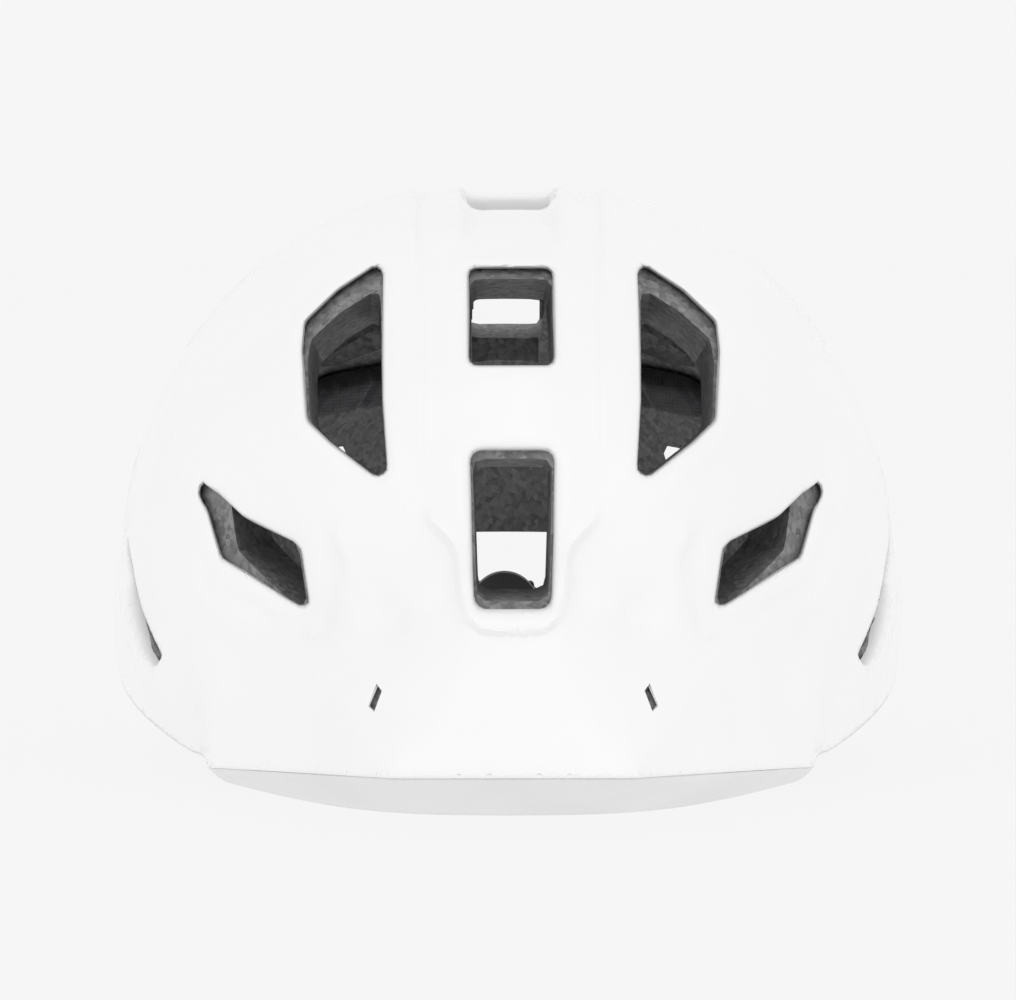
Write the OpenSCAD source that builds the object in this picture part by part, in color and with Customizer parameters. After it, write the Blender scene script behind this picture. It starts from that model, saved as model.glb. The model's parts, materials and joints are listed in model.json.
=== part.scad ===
// Vented helmet with an in-moulded shell, a foam liner, a dial-tightened
// fit ring and a webbing harness. +Z is up, the wearer faces -Y, and the
// rim stands on z = 0. Left and right are the wearer's.

/* [Shell] */
// Half width of the shell at its widest ring
shell_half_w = 105; // [103:1:107]
// From the crown's centre forward to the brow
shell_front = 132; // [130:1:134]
// From the crown's centre back to the nape
shell_rear = 128; // [126:1:130]
// Height of the flat crown above the rim
crown_z = 152.8; // [151:0.1:154]
// Height of the widest ring above the rim
ring_z = 52.8; // [51:0.1:54]
// Thickness of the moulded skin
skin_t = 1.2; // [1:0.1:1.6]

/* [Brim] */
// How far the brim's corner folds stand in front of the origin
brim_reach = 158; // [154:1:160]
// Half width between the brim's two folds
fold_half_w = 30.3; // [28:0.1:32]
// Height of the brim's edge above the rim
brim_z = 14.7; // [13:0.1:16]

/* [Liner] */
// Half width of the head cavity
head_half_w = 83; // [81:1:84]
// From the crown's centre forward to the cavity wall
head_front = 102; // [100:1:104]
// From the crown's centre back to the cavity wall
head_rear = 106; // [104:1:107]
// Height of the cavity above the widest ring
head_up = 74; // [72:1:76]

/* [Fit ring] */
// Radius of the dial
dial_r = 16; // [14:0.5:17]
// Height of the dial's axle
dial_z = 20; // [19:0.5:21]
// How far each tail is drawn in by the dial
tail_travel = 10; // [6:0.5:10]
// Teeth on the pinion
pinion_teeth = 12; // [10:1:12]
// Tooth module of the pinion and the racks
tooth_m = 0.8; // [0.8:0.1:0.8]
// Radius of the temple pins
pin_r = 2.95; // [2.5:0.05:3]
// Radial running clearance of the pins and the axle
run_gap = 0.05; // [0.03:0.01:0.08]

/* [Harness] */
// Width of the webbing
web_w = 15; // [12:1:16]
// Thickness of the webbing
web_t = 1.4; // [1:0.1:1.6]

/* [Hidden] */

centre = [0, 5, ring_z];
down_reach = 195;
up_reach = 104;
head_down = 170;
fit_gap = 0.1;
cut_z = -3;
view_hub = [0, 0, 68.3];
view_tilt = 5;

function unit(v) = v / norm(v);
function mix(a, b, t) = a + (b - a) * t;
function ramp(x, a, b) = min(1, max(0, (x - a) / (b - a)));
function smin(a, b, k) = let (h = max(k - abs(a - b), 0) / k) min(a, b) - h * h * k / 4;
function smax(a, b, k) = -smin(-a, -b, k);
function aim(az, el) = [sin(az) * cos(el), -cos(az) * cos(el), sin(el)];

// Distance from the centre to an egg with these half axes, along d
function egg(d, side, front, rear, up, down) =
    1 / norm([d.x / side, d.y / (d.y < 0 ? front : rear), d.z / (d.z > 0 ? up : down)]);

// ---- the brim: flat facets through its fold, split, corner and ridge points ----
fold_low = [fold_half_w, -brim_reach, brim_z];
fold_top = [35.2, -114, 77.8];
split_pt = [53, -112, 40.6];
corner_pt = [74.5, -125, 13.3];
ridge_top = [83.6, -76, 54.8];
temple_pt = [79, -84, 8];

function plane(a, b, c) = let (n = unit(cross(b - a, c - a))) [n, n * (a - centre)];
function outward(p) = p[1] < 0 ? [-p[0], -p[1]] : p;
function flip(p) = [[-p[0].x, p[0].y, p[0].z], p[1]];
brim_side = [outward(plane(fold_low, fold_top, split_pt)),
    outward(plane(fold_low, split_pt, corner_pt)),
    outward(plane(corner_pt, ridge_top, temple_pt)),
    [[0.8, 0.6, 0], 50]];
brim_mid = [outward(plane(fold_low, fold_top, [-fold_half_w, -brim_reach, brim_z])),
    [unit([0, -0.5, 0.866]), 100], [[0, 0, 1], 85], [[0, 1, 0], 60]];
brim_planes = concat(brim_mid, brim_side, [for (p = brim_side) flip(p)]);
function brim_r(d) = min([for (p = brim_planes) let (s = d * p[0]) s > 0.02 ? p[1] / s : 1e3]);

function shell_r(d) =
    let (dome = egg(d, shell_half_w, shell_front, shell_rear, up_reach, down_reach))
    let (flat = smin(dome, d.z > 0.3 ? (crown_z - ring_z) / d.z : 1e3, 3))
    smax(flat, brim_r(d), 4);

// Elevation of the shell's lower edge: the brim's edge in front, the dome behind
function edge_el(az) = lookup(abs(az > 180 ? 360 - az : az),
    [[0, -12.9], [10.5, -12.9], [29.8, -14.8], [42, -20], [180, -20]]);
function low_pt(az) = let (d = aim(az, 0), f = sqrt(1 - pow((ring_z - cut_z) / down_reach, 2)))
    [centre.x, centre.y, cut_z] + d * f * egg(d, shell_half_w, shell_front, shell_rear, 1, 1);

half_az = [for (a = [0:3.5:10.5]) a, 15.3, 20.1, 25, 29.8, 36, for (a = [42:8:90]) a,
    for (a = [98:8.2:179]) a];
ring_az = [each half_az, 180, for (i = [len(half_az) - 1:-1:1]) 360 - half_az[i]];
TOP_ROWS = 14;
UNDER_ROWS = 4;

function under_pt(az, t) =
    let (d0 = aim(az, edge_el(az)), p = mix(centre + shell_r(d0) * d0, low_pt(az), t))
    let (d = unit(p - centre), r = egg(d, shell_half_w, shell_front, shell_rear, up_reach, down_reach))
    centre + max(norm(p - centre), r) * d;
function front_part(az) = 1 - ramp(abs(az > 180 ? 360 - az : az), 30, 45);

// The skin's outer face, drawn in by "inset": rows run from the crown to the rim
function skin_pt(az, j, inset) = j <= TOP_ROWS
    ? let (d = aim(az, mix(90, edge_el(az), j / TOP_ROWS)))
        centre + (shell_r(d) - inset * (j == TOP_ROWS ? 1.5 : 1)) * d
    : let (p = under_pt(az, (j - TOP_ROWS) / UNDER_ROWS))
        p - inset * unit(p - centre) + [0, 0, inset * front_part(az)];

// A closed body from rings of points, each ring the same length
module lofted(rings, top, bottom) {
    n = len(rings[0]);
    last = len(rings) - 1;
    polyhedron(
        points = concat([top], [for (ring = rings) each ring], [bottom]),
        faces = concat(
            [for (i = [0:n - 1]) [0, 1 + (i + 1) % n, 1 + i]],
            [for (j = [0:last - 1], i = [0:n - 1]) let (a = 1 + j * n + i, b = 1 + j * n + (i + 1) % n)
                each [[a, b, a + n], [b, b + n, a + n]]],
            [for (i = [0:n - 1]) [1 + last * n + i, 1 + last * n + (i + 1) % n, (last + 1) * n + 1]]));
}

module skin_body(inset) {
    rings = [for (j = [1:TOP_ROWS + UNDER_ROWS]) [for (az = ring_az) skin_pt(az, j, inset)]];
    lofted(rings, [0, centre.y, centre.z + shell_r([0, 0, 1]) - inset], [0, centre.y, cut_z + inset]);
}

// The head's space, grown by "grow", open below
function head_r(d, grow) = egg(d, head_half_w + grow, head_front + grow, head_rear + grow,
    head_up + grow, head_down);
module head_space(grow) {
    azs = [0:9:351];
    els = [78, 66, 54, 42, 30, 18, 6, -8, -22, -36];
    rings = [for (el = els) [for (az = azs) centre + head_r(aim(az, el), grow) * aim(az, el)]];
    lofted(rings, [0, centre.y, centre.z + head_up + grow], [0, centre.y, -20]);
}

// What is cut away under the rim: an ear arch at each side, a dial arch behind
rim_line = [[-119, 0], [-112, 2.5], [-98, 4.4], [-83, 6], [-50, 12.4], [-5, 19.4], [20, 23],
    [45, 19], [70, 8], [86, 0]];
module below_rim(lift) {
    rotate([90, 0, 90]) linear_extrude(260, center = true)
        polygon(concat([[-190, -40], [-190, lift]], [for (p = rim_line) [p.x, p.y + lift]],
            [[150, lift], [150, -40]]));
}
module dial_arch(grow) {
    translate([0, 150, 0]) rotate([90, 0, 0]) linear_extrude(70)
        offset(grow) polygon([[-31, -20], [-31, 22], [-24, 40], [-14, 48], [14, 48], [24, 40],
            [31, 22], [31, -20]]);
}
module rim_cut(lift) {
    below_rim(lift);
    dial_arch(lift);
}
// The lower shell's share: the rim's wrap and the brim's underside
module lower_share(gap) {
    below_rim(5 - gap);
    dial_arch(4 - gap);
    rotate([90, 0, 90]) linear_extrude(170, center = true)
        polygon([[-175, -20], [-175, 13.9 - gap], [-158, 12.9 - gap], [-125, 11.4 - gap],
            [-84, 10.6 - gap], [-84, -20]]);
}

// ---- vents: outlines seen along an axis from a hub, and where they narrow to inside ----
brow_vent = [[-10.9, 12.9], [10.9, 12.9], [9.6, -27.2], [-9.6, -27.2]];
fore_vent = [[-11.2, 34.7], [11.2, 34.7], [11.2, 61.5], [-11.2, 61.5]];
cheek_vent = [[35.2, 61.5], [33.2, 60], [32.9, 25.5], [31.6, 7], [34.5, 5.6], [46.4, 14.6],
    [52.5, 20.3], [54.2, 38.9], [53.7, 46.5], [45, 55]];
temple_vent = [[80.6, 5.2], [70.1, -3.9], [56.2, -10.6], [54.4, -12.5], [52.2, -26.8],
    [54.5, -27.4], [76, -15], [79.5, -3.9], [81.3, 2]];
crown_vent = [[-11.3, -30], [11.3, -30], [11.3, 16], [-11.3, 16]];
crown_rear_vent = [[-10.8, 32], [10.8, 32], [10.8, 58], [-10.8, 58]];
nape_vent = [[-10.5, 41], [10.5, 41], [10.5, 55], [-10.5, 55]];
ear_slot = [[-27, -21], [-10, -10], [1, 1], [10, 6], [34, 4], [29, -6], [12, -12], [-8, -20],
    [-22, -24]];
ear_vent = [[-13, 14], [28, 12], [36, 4], [10, 0], [-12, 3]];
side_vent = [[-20, -4], [-15, 9], [19, 12], [25, 3], [10, -9], [-10, -10]];
rear_side_vent = [[-18, -9], [-17, 6], [8, 11], [16, 3], [12, -8], [-4, -13]];
nape_side_vent = [[-67, 12], [-60, 29], [-44, 34], [-40, 18], [-46, 9], [-60, 6]];
rear_slot = [[-20, 3], [14, 12], [20, 3], [4, -8], [-17, -7]];

module along(hub, az, el) {
    translate(hub) rotate([90 - el, 0, az]) children();
}
module tapered(outline, far, near, spread, shift) {
    mid = [for (k = [0:1]) (max([for (p = outline) p[k]]) + min([for (p = outline) p[k]])) / 2];
    hull() {
        translate([0, 0, far]) linear_extrude(1) offset(1.5) offset(-1.5) polygon(outline);
        translate([mid.x + shift.x, mid.y + shift.y, near]) linear_extrude(1)
            scale(spread) translate(-mid) polygon(outline);
    }
}
module straight(outline, far, near) {
    translate([0, 0, near]) linear_extrude(far - near) offset(1.5) offset(-1.5) polygon(outline);
}
// Every vent, through the thin skin (thin = true) or down its foam tunnel
module vents(thin) {
    along(view_hub, 0, view_tilt) {
        if (thin) straight(brow_vent, 170, 60);
        else tapered(brow_vent, 150, 72, [0.84, 0.71], [0, 0.4]);
        if (thin) straight(fore_vent, 150, 40);
        else tapered(fore_vent, 110, 30, [0.88, 0.72], [0, -6]);
    }
    along(centre, 0, 90) straight(crown_vent, 120, 60);
    along(centre, 0, 90) straight(crown_rear_vent, 120, 60);
    along(centre, 180, 8) straight(nape_vent, 140, 66);
    for (side = [0, 1]) mirror([side, 0, 0]) {
        along(view_hub, 0, view_tilt) {
            if (thin) straight(cheek_vent, 150, 30);
            else tapered(cheek_vent, 118, 28, [0.78, 0.72], [-1, -6]);
            if (thin) straight(temple_vent, 130, 30);
        }
        if (!thin) hull() {
            along(view_hub, 0, view_tilt) translate([0, 0, 100]) linear_extrude(20)
                polygon(temple_vent);
            along(view_hub, 0, view_tilt) translate([-16, 6, 52]) linear_extrude(1)
                polygon(temple_vent);
        }
        along(centre, 70, 0) tapered(ear_slot, 125, 66, [0.7, 0.6], [2, 3]);
        along(centre, 95, 5) tapered(ear_vent, 125, 66, [0.8, 0.8], [0, 0]);
        along(centre, 100, 42) tapered(side_vent, 125, 66, [0.7, 0.7], [0, 0]);
        along(centre, 140, 42) tapered(rear_side_vent, 125, 66, [0.75, 0.75], [0, 0]);
        along(centre, 180, 0) tapered(nape_side_vent, 135, 60, [0.85, 0.8], [2, 2]);
        along(centre, 122, -4) tapered(rear_slot, 135, 76, [0.8, 0.8], [0, 0]);
    }
}

// resize() to its own size joins a body into one closed surface
module one_body() {
    resize([0, 0, 0]) children();
}
module hollow_skin() {
    difference() {
        skin_body(0);
        rim_cut(0);
        difference() {
            skin_body(skin_t);
            rim_cut(skin_t);
        }
        head_space(14);
    }
}

module upper_shell() {
    color([0.96, 0.96, 0.96]) one_body() difference() {
        hollow_skin();
        lower_share(0);
        vents(true);
    }
}
module lower_shell() {
    color([0.84, 0.84, 0.84]) one_body() intersection() {
        hollow_skin();
        lower_share(fit_gap);
    }
}
// The foam is moulded in two parts that meet on a level plane
parting_z = 60;
module foam_between(z_a, z_b) {
    one_body() difference() {
        intersection() {
            skin_body(skin_t + fit_gap);
            translate([-150, -200, z_a]) cube([300, 400, z_b - z_a]);
        }
        rim_cut(skin_t + fit_gap);
        head_space(0);
        vents(false);
        air_channel();
        ring_recess();
        pin_pockets();
        anchor_pockets();
    }
}
module crown_liner() { color([0.22, 0.22, 0.23]) foam_between(parting_z + fit_gap, 170); }
module base_liner() { color([0.2, 0.2, 0.21]) foam_between(-10, parting_z); }
// The channel that joins the middle vents over the head
channel_half_w = 9.5;
module air_channel() {
    intersection() {
        head_space(5.5);
        translate([-channel_half_w, -80, 60]) cube([2 * channel_half_w, 160, 90]);
    }
}
// Room at the back for the ring, its tails and the dial housing
module ring_recess() {
    translate([-43, 80, -5]) cube([86, 28.5, 49]);
}

// ---- pads and bands that follow the cavity wall ----
function wall_pt(az, el, inset) = centre + (head_r(aim(az, el), 0) - inset) * aim(az, el);
// A closed slab on the wall between two azimuths and two elevations
module wall_slab(az_a, az_b, el_a, el_b, out, in, steps = [10, 4]) {
    n = steps[0];
    m = steps[1];
    w = m + 1;
    half = (n + 1) * w;
    pts = [for (inset = [out, in], i = [0:n], j = [0:m])
        wall_pt(mix(az_a, az_b, i / n), mix(el_a, el_b, j / m), inset)];
    faces = concat(
        [for (i = [0:n - 1], j = [0:m - 1]) let (a = i * w + j)
            each [[a, a + 1, a + w], [a + 1, a + w + 1, a + w]]],
        [for (i = [0:n - 1], j = [0:m - 1]) let (a = half + i * w + j)
            each [[a, a + w, a + 1], [a + 1, a + w, a + w + 1]]],
        [for (i = [0:n - 1]) let (a = i * w) each [[a, a + w, a + half], [a + w, a + w + half, a + half]]],
        [for (i = [0:n - 1]) let (a = i * w + m)
            each [[a, a + half, a + w], [a + w, a + half, a + w + half]]],
        [for (j = [0:m - 1]) each [[j, j + half, j + 1], [j + 1, j + half, j + 1 + half]]],
        [for (j = [0:m - 1]) let (a = n * w + j)
            each [[a, a + 1, a + half], [a + 1, a + 1 + half, a + half]]]);
    polyhedron(pts, faces);
}
pad_out = 1.2;
pad_in = 7;

module brow_pad() { color([0.16, 0.16, 0.17]) wall_slab(-42, 42, -17, -3, pad_out, pad_in, [14, 4]); }
module crown_strip() { wall_slab(50, 130, 56, 74, pad_out, pad_in); }
module side_strip() { wall_slab(62, 116, 15, 29, pad_out, pad_in); }
module rear_strip() { wall_slab(130, 166, 23, 33, pad_out, pad_in, [6, 3]); }
module left_crown_pad() { color([0.16, 0.16, 0.17]) crown_strip(); }
module right_crown_pad() { color([0.16, 0.16, 0.17]) mirror([1, 0, 0]) crown_strip(); }
module left_side_pad() { color([0.16, 0.16, 0.17]) side_strip(); }
module right_side_pad() { color([0.16, 0.16, 0.17]) mirror([1, 0, 0]) side_strip(); }
module left_rear_pad() { color([0.16, 0.16, 0.17]) rear_strip(); }
module right_rear_pad() { color([0.16, 0.16, 0.17]) mirror([1, 0, 0]) rear_strip(); }
module front_band() {
    color([0.1, 0.1, 0.1]) wall_slab(-56, 56, -23.5, -18.5, 0.9, 2.4, [16, 2]);
}

// ---- fit ring, hung from two temple pins ----
pin_y = 8;
pin_z = 34;
eye_in_x = 75.9;
eye_out_x = 77.5;
plug_r = 8;
PIN_FN = 48;

module across(x_a, x_b, r) {
    translate([x_a, pin_y, pin_z]) rotate([0, 90, 0]) cylinder(h = x_b - x_a, r = r, $fn = PIN_FN);
}
module pin_pockets() {
    for (side = [0, 1]) mirror([side, 0, 0]) across(60, 88, plug_r + fit_gap);
}
module temple_pins() {
    color([0.12, 0.12, 0.12]) for (side = [0, 1]) mirror([side, 0, 0]) union() {
        across(79.5, 87.5, plug_r);
        across(77.8, 79.6, 4.5);
        across(75, 78, pin_r);
        across(73.6, 75.5, 5.5);
    }
}
RING_STEPS = 28;
function ring_z_at(az) = lookup(abs(az - 180), [[0, dial_z], [45, 27], [84, pin_z]]);
function ring_pt(az, up, inset) =
    let (el = asin((ring_z_at(az) + up - centre.z) / 104)) wall_pt(az, el, inset);
module ring_strip() {
    azs = [for (i = [0:RING_STEPS]) 97 + 166 * i / RING_STEPS];
    corners = [[6, 5], [-6, 5], [-6, 6.6], [6, 6.6]];
    pts = [for (az = azs, c = corners) ring_pt(az, c[0], c[1])];
    faces = concat([[0, 1, 2, 3]],
        [for (i = [0:RING_STEPS - 1], k = [0:3]) let (a = 4 * i + k, b = 4 * i + (k + 1) % 4)
            each [[a, a + 4, b], [b, a + 4, b + 4]]],
        [[for (k = [3:-1:0]) 4 * RING_STEPS + k]]);
    polyhedron(pts, faces);
}
module fit_ring() {
    color([0.1, 0.1, 0.1]) difference() {
        union() {
            ring_strip();
            for (side = [0, 1]) mirror([side, 0, 0]) across(eye_in_x, eye_out_x, plug_r);
        }
        for (side = [0, 1]) mirror([side, 0, 0]) across(eye_in_x - 2, eye_out_x + 2, pin_r + run_gap);
        backwards(housing_y - 4, cover_end_y) offset(0.05) housing_outline();
    }
}

// ---- dial, pinion and tails ----
housing_y = 103.2;
slot_y = 104.6;
cover_y = 106.8;
cover_end_y = 109.4;
knob_y = 109.9;
knob_end_y = 119.4;
tail_t = 1.6;
pitch_r = tooth_m * pinion_teeth / 2;
tooth_p = PI * tooth_m;
backlash = 0.3;
add_h = 0.6;
root_h = 0.85;
axle_r = 2.5;
rack_back = 4.4;
wing_half_w = 22;

// Extrudes an outline drawn in X and Z from y_a back to y_b
module backwards(y_a, y_b) {
    translate([0, y_b, 0]) rotate([90, 0, 0]) linear_extrude(y_b - y_a) children();
}
module housing_outline() {
    hull() {
        translate([0, dial_z]) circle(r = 15, $fn = 64);
        translate([0, dial_z + 8.2]) circle(r = 9.8, $fn = 64);
    }
    translate([-wing_half_w, dial_z - 11]) square([2 * wing_half_w, 22]);
}
module screw_spots() {
    for (z = [dial_z - 12.2, dial_z + 14]) translate([0, z]) children();
}
module rack_slot() {
    translate([-20, dial_z + pitch_r - add_h - 0.2]) square([60, rack_back + add_h + 0.4]);
}
module dial_housing() {
    color([0.12, 0.12, 0.12]) difference() {
        backwards(housing_y, cover_y - 0.05) housing_outline();
        backwards(slot_y, cover_y + 1) {
            rack_slot();
            translate([0, 2 * dial_z]) rotate(180) rack_slot();
            translate([0, dial_z]) circle(r = pitch_r + add_h + 0.5, $fn = 48);
        }
        backwards(slot_y, cover_y + 1) screw_spots() circle(r = 1.3, $fn = 24);
    }
}
module housing_cover() {
    color([0.14, 0.14, 0.14]) difference() {
        backwards(cover_y, cover_end_y) housing_outline();
        backwards(cover_y - 1, cover_end_y + 1) translate([0, dial_z])
            circle(r = axle_r + run_gap, $fn = PIN_FN);
        backwards(cover_y - 1, cover_end_y + 1) screw_spots() circle(r = 1.35, $fn = 24);
        backwards(cover_end_y - 1.2, cover_end_y + 1) screw_spots() circle(r = 2.3, $fn = 24);
    }
}
module housing_screws() {
    color([0.6, 0.6, 0.62]) difference() {
        union() {
            backwards(slot_y + 0.2, cover_end_y - 0.5) screw_spots() circle(r = 1.25, $fn = 24);
            backwards(cover_end_y - 1.1, cover_end_y - 0.1) screw_spots() circle(r = 2.2, $fn = 24);
        }
        backwards(cover_end_y - 0.6, cover_end_y + 1) screw_spots() square([2.8, 0.5], center = true);
    }
}
module pinion_outline() {
    root_r = pitch_r - root_h;
    tip_r = pitch_r + add_h;
    half_tooth = (tooth_p - backlash) / 4;
    circle(r = root_r, $fn = 48);
    for (i = [0:pinion_teeth - 1]) rotate(90 + 360 * i / pinion_teeth)
        polygon([[root_r - 0.3, -half_tooth * 1.3], [pitch_r - 0.3, -half_tooth * 1.15],
            [pitch_r + 0.1, -half_tooth * 0.85], [tip_r, -half_tooth * 0.35], [tip_r, half_tooth * 0.35],
            [pitch_r + 0.1, half_tooth * 0.85], [pitch_r - 0.3, half_tooth * 1.15],
            [root_r - 0.3, half_tooth * 1.3]]);
}
module pinion() {
    color([0.75, 0.75, 0.72]) union() {
        backwards(slot_y + 0.2, slot_y + 0.2 + tail_t) translate([0, dial_z]) pinion_outline();
        backwards(slot_y + 0.2, knob_end_y - 3.2) translate([0, dial_z]) circle(r = axle_r, $fn = PIN_FN);
    }
}
module dial_knob() {
    color([0.1, 0.1, 0.1]) difference() {
        translate([0, knob_y, dial_z]) rotate([-90, 0, 0]) rotate_extrude($fn = 96)
            polygon([[0, 0], [dial_r - 3, 0], [dial_r - 3, 1.2], [dial_r - 1.5, 1.2], [dial_r - 1.5, 7.6],
                [dial_r - 2.5, 8.6], [9, 9.2], [8, 8.4], [0, 8.4]]);
        backwards(knob_y - 1, knob_end_y - 3) translate([0, dial_z]) circle(r = axle_r + 0.02, $fn = PIN_FN);
    }
}
module dial_grip() {
    color([0.2, 0.2, 0.2]) backwards(knob_y + 1.3, knob_y + 7.4) translate([0, dial_z]) difference() {
        union() {
            circle(r = dial_r - 0.6, $fn = 96);
            for (i = [0:17]) rotate(20 * i) translate([dial_r - 0.7, 0]) circle(r = 1.1, $fn = 20);
        }
        circle(r = dial_r - 1.45, $fn = 96);
    }
}
// One tail: a toothed strip with a hooked end; the teeth face the pinion
rack_a = -6;
rack_b = 17;
tail_end = 40;
module tail_body() {
    half_tooth = (tooth_p - backlash) / 4;
    base = dial_z + pitch_r;
    backwards(slot_y + 0.2, slot_y + 0.2 + tail_t) difference() {
        union() {
            translate([rack_a, base + 0.85]) square([tail_end - rack_a, rack_back - 1.05]);
            translate([tail_end - 6, base - 9]) square([6, rack_back + 10.5]);
            for (x = [-1.5:1:6.5]) translate([x * tooth_p, base]) polygon([[-half_tooth * 1.3, 0.9],
                [-half_tooth * 0.55, -0.6], [half_tooth * 0.55, -0.6], [half_tooth * 1.3, 0.9]]);
        }
        translate([tail_end - 3.6, base - 7]) square([1.4, rack_back + 6.6]);
    }
}
module left_tail() { color([0.16, 0.16, 0.16]) tail_body(); }
module right_tail() {
    color([0.16, 0.16, 0.16]) translate([0, 0, 2 * dial_z]) rotate([0, 180, 0]) tail_body();
}

// ---- harness ----
anchor_spots = [[74, -50], [76, 58]];
anchor_r = 4.5;
anchor_z = [13.7, 22];
module anchor_pockets() {
    for (side = [0, 1], p = anchor_spots) mirror([side, 0, 0]) translate([p.x, p.y, 0])
        cylinder(h = anchor_z[1] + fit_gap, r = anchor_r + fit_gap, $fn = 32);
}
module strap_anchors() {
    color([0.12, 0.12, 0.12]) for (side = [0, 1], p = anchor_spots) mirror([side, 0, 0])
        translate([p.x, p.y, anchor_z[0]]) cylinder(h = anchor_z[1] - anchor_z[0], r = anchor_r, $fn = 32);
}

// Smooth point t of the way along a hand-laid route
function knot(route, i) = route[min(len(route) - 1, max(0, i))];
function curve(route, t) =
    let (s = t * (len(route) - 1), i = min(floor(s), len(route) - 2), u = s - i)
    let (a = knot(route, i - 1), b = knot(route, i), c = knot(route, i + 1), d = knot(route, i + 2))
    0.5 * (2 * b + (c - a) * u + (2 * a - 5 * b + 4 * c - d) * u * u + (3 * b - a - 3 * c + d) * u * u * u);

// Flat webbing along a route, its faces turned from normal_a to normal_b
module webbing(route, normal_a, normal_b, w, low, high, steps = 16, span = [0, 1]) {
    pts = [for (i = [0:steps]) let (t = mix(span[0], span[1], i / steps))
        let (p = curve(route, t))
        let (along_it = unit(curve(route, min(1, t + 0.01)) - curve(route, max(0, t - 0.01))))
        let (side = unit(cross(mix(normal_a, normal_b, t), along_it)), up = cross(along_it, side))
        for (c = [[-w / 2, low], [w / 2, low], [w / 2, high], [-w / 2, high]]) p + side * c[0] + up * c[1]];
    faces = concat([[0, 1, 2, 3]],
        [for (i = [0:steps - 1], k = [0:3]) let (a = 4 * i + k, b = 4 * i + (k + 1) % 4)
            each [[a, a + 4, b], [b, a + 4, b + 4]]],
        [[for (k = [3:-1:0]) 4 * steps + k]]);
    polyhedron(pts, faces);
}
front_route = [[74, -50, 13.8], [73, -46, 11], [70, -36, 10.5], [66, -24, 11], [62.5, -12, 12],
    [60, -2.2, 12]];
rear_route = [[76, 58, 13.8], [74, 54, 11], [70, 46, 10.5], [65, 37, 11], [61.5, 29, 12], [60, 22.2, 12]];
chin_route = [[57.4, 10, 2.4], [52, 10, 2.4], [46, 10, 2.6], [41.5, 10, 3.4], [39, 10, 8], [38, 10, 15],
    [35.5, 10, 20], [32.5, 10, 18.5], [31, 10, 12], [30, 10, 7.6], [26.7, 10, 6]];
// The webbing's end is trimmed flush under its anchor
module trimmed(y_a, y_b) {
    difference() {
        children();
        translate([60, y_a, anchor_z[0] - 0.05]) cube([30, y_b - y_a, 20]);
    }
}
module front_web() {
    trimmed(-62, -38) webbing(front_route, [-1, 0, 0], [-1, 0, 0], web_w, -web_t / 2, web_t / 2);
}
module rear_web() {
    trimmed(44, 68) webbing(rear_route, [-1, 0, 0], [-1, 0, 0], web_w, -web_t / 2, web_t / 2);
}
module chin_web() { webbing(chin_route, [0, 0, 1], [0, 0, 1], web_w, -web_t / 2, web_t / 2, 24); }
module left_front_strap() { color([0.1, 0.1, 0.1]) front_web(); }
module right_front_strap() { color([0.1, 0.1, 0.1]) mirror([1, 0, 0]) front_web(); }
module left_rear_strap() { color([0.1, 0.1, 0.1]) rear_web(); }
module right_rear_strap() { color([0.1, 0.1, 0.1]) mirror([1, 0, 0]) rear_web(); }
module left_chin_strap() { color([0.1, 0.1, 0.1]) chin_web(); }
module right_chin_strap() { color([0.1, 0.1, 0.1]) mirror([1, 0, 0]) chin_web(); }
module chin_pad() {
    color([0.18, 0.18, 0.19]) webbing(chin_route, [0, 0, 1], [0, 0, 1], web_w + 6, web_t / 2 + 0.2,
        web_t / 2 + 3.2, 12, [0.42, 0.76]);
}
module strap_keeper() {
    color([0.13, 0.13, 0.13]) translate([45, 10, 2.62]) rotate([90, 0, 90]) linear_extrude(2.6)
        difference() {
            square([web_w + 4, 5], center = true);
            square([web_w + 1, 2.8], center = true);
        }
}

// Divider where front and rear webbing meet, with a cam lever that locks them
div_x = [57.5, 62.5];
div_y = [-2, 22];
div_z = [1.2, 22.8];
cam_axis = [55.5, 5.6];
cam_pin_r = 1.1;
module divider() {
    difference() {
        union() {
            translate([div_x[0], div_y[0], div_z[0]])
                cube([div_x[1] - div_x[0], div_y[1] - div_y[0], div_z[1] - div_z[0]]);
            for (y = [-0.4, 18.4]) translate([cam_axis.x - 1.8, y, cam_axis.y - 2])
                cube([div_x[0] - cam_axis.x + 2.4, 2, 4]);
        }
        translate([cam_axis.x, -1, cam_axis.y]) rotate([-90, 0, 0])
            cylinder(h = 22, r = cam_pin_r + run_gap, $fn = 32);
        translate([div_x[0] + 1.6, 1.5, 9]) cube([1.8, 17, 10]);
    }
}
module cam() {
    union() {
        translate([cam_axis.x - 1.3, 1.9, cam_axis.y - 1.3]) cube([2.6, 16.2, 15]);
        translate([cam_axis.x, 0, cam_axis.y]) rotate([-90, 0, 0]) cylinder(h = 20, r = cam_pin_r, $fn = 32);
        for (z = [13:1.6:19]) translate([cam_axis.x - 1.7, 3.5, z]) cube([0.6, 13, 0.8]);
    }
}
module left_divider() { color([0.12, 0.12, 0.12]) divider(); }
module right_divider() { color([0.12, 0.12, 0.12]) mirror([1, 0, 0]) divider(); }
module left_cam() { color([0.3, 0.3, 0.31]) cam(); }
module right_cam() { color([0.3, 0.3, 0.31]) mirror([1, 0, 0]) cam(); }

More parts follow.
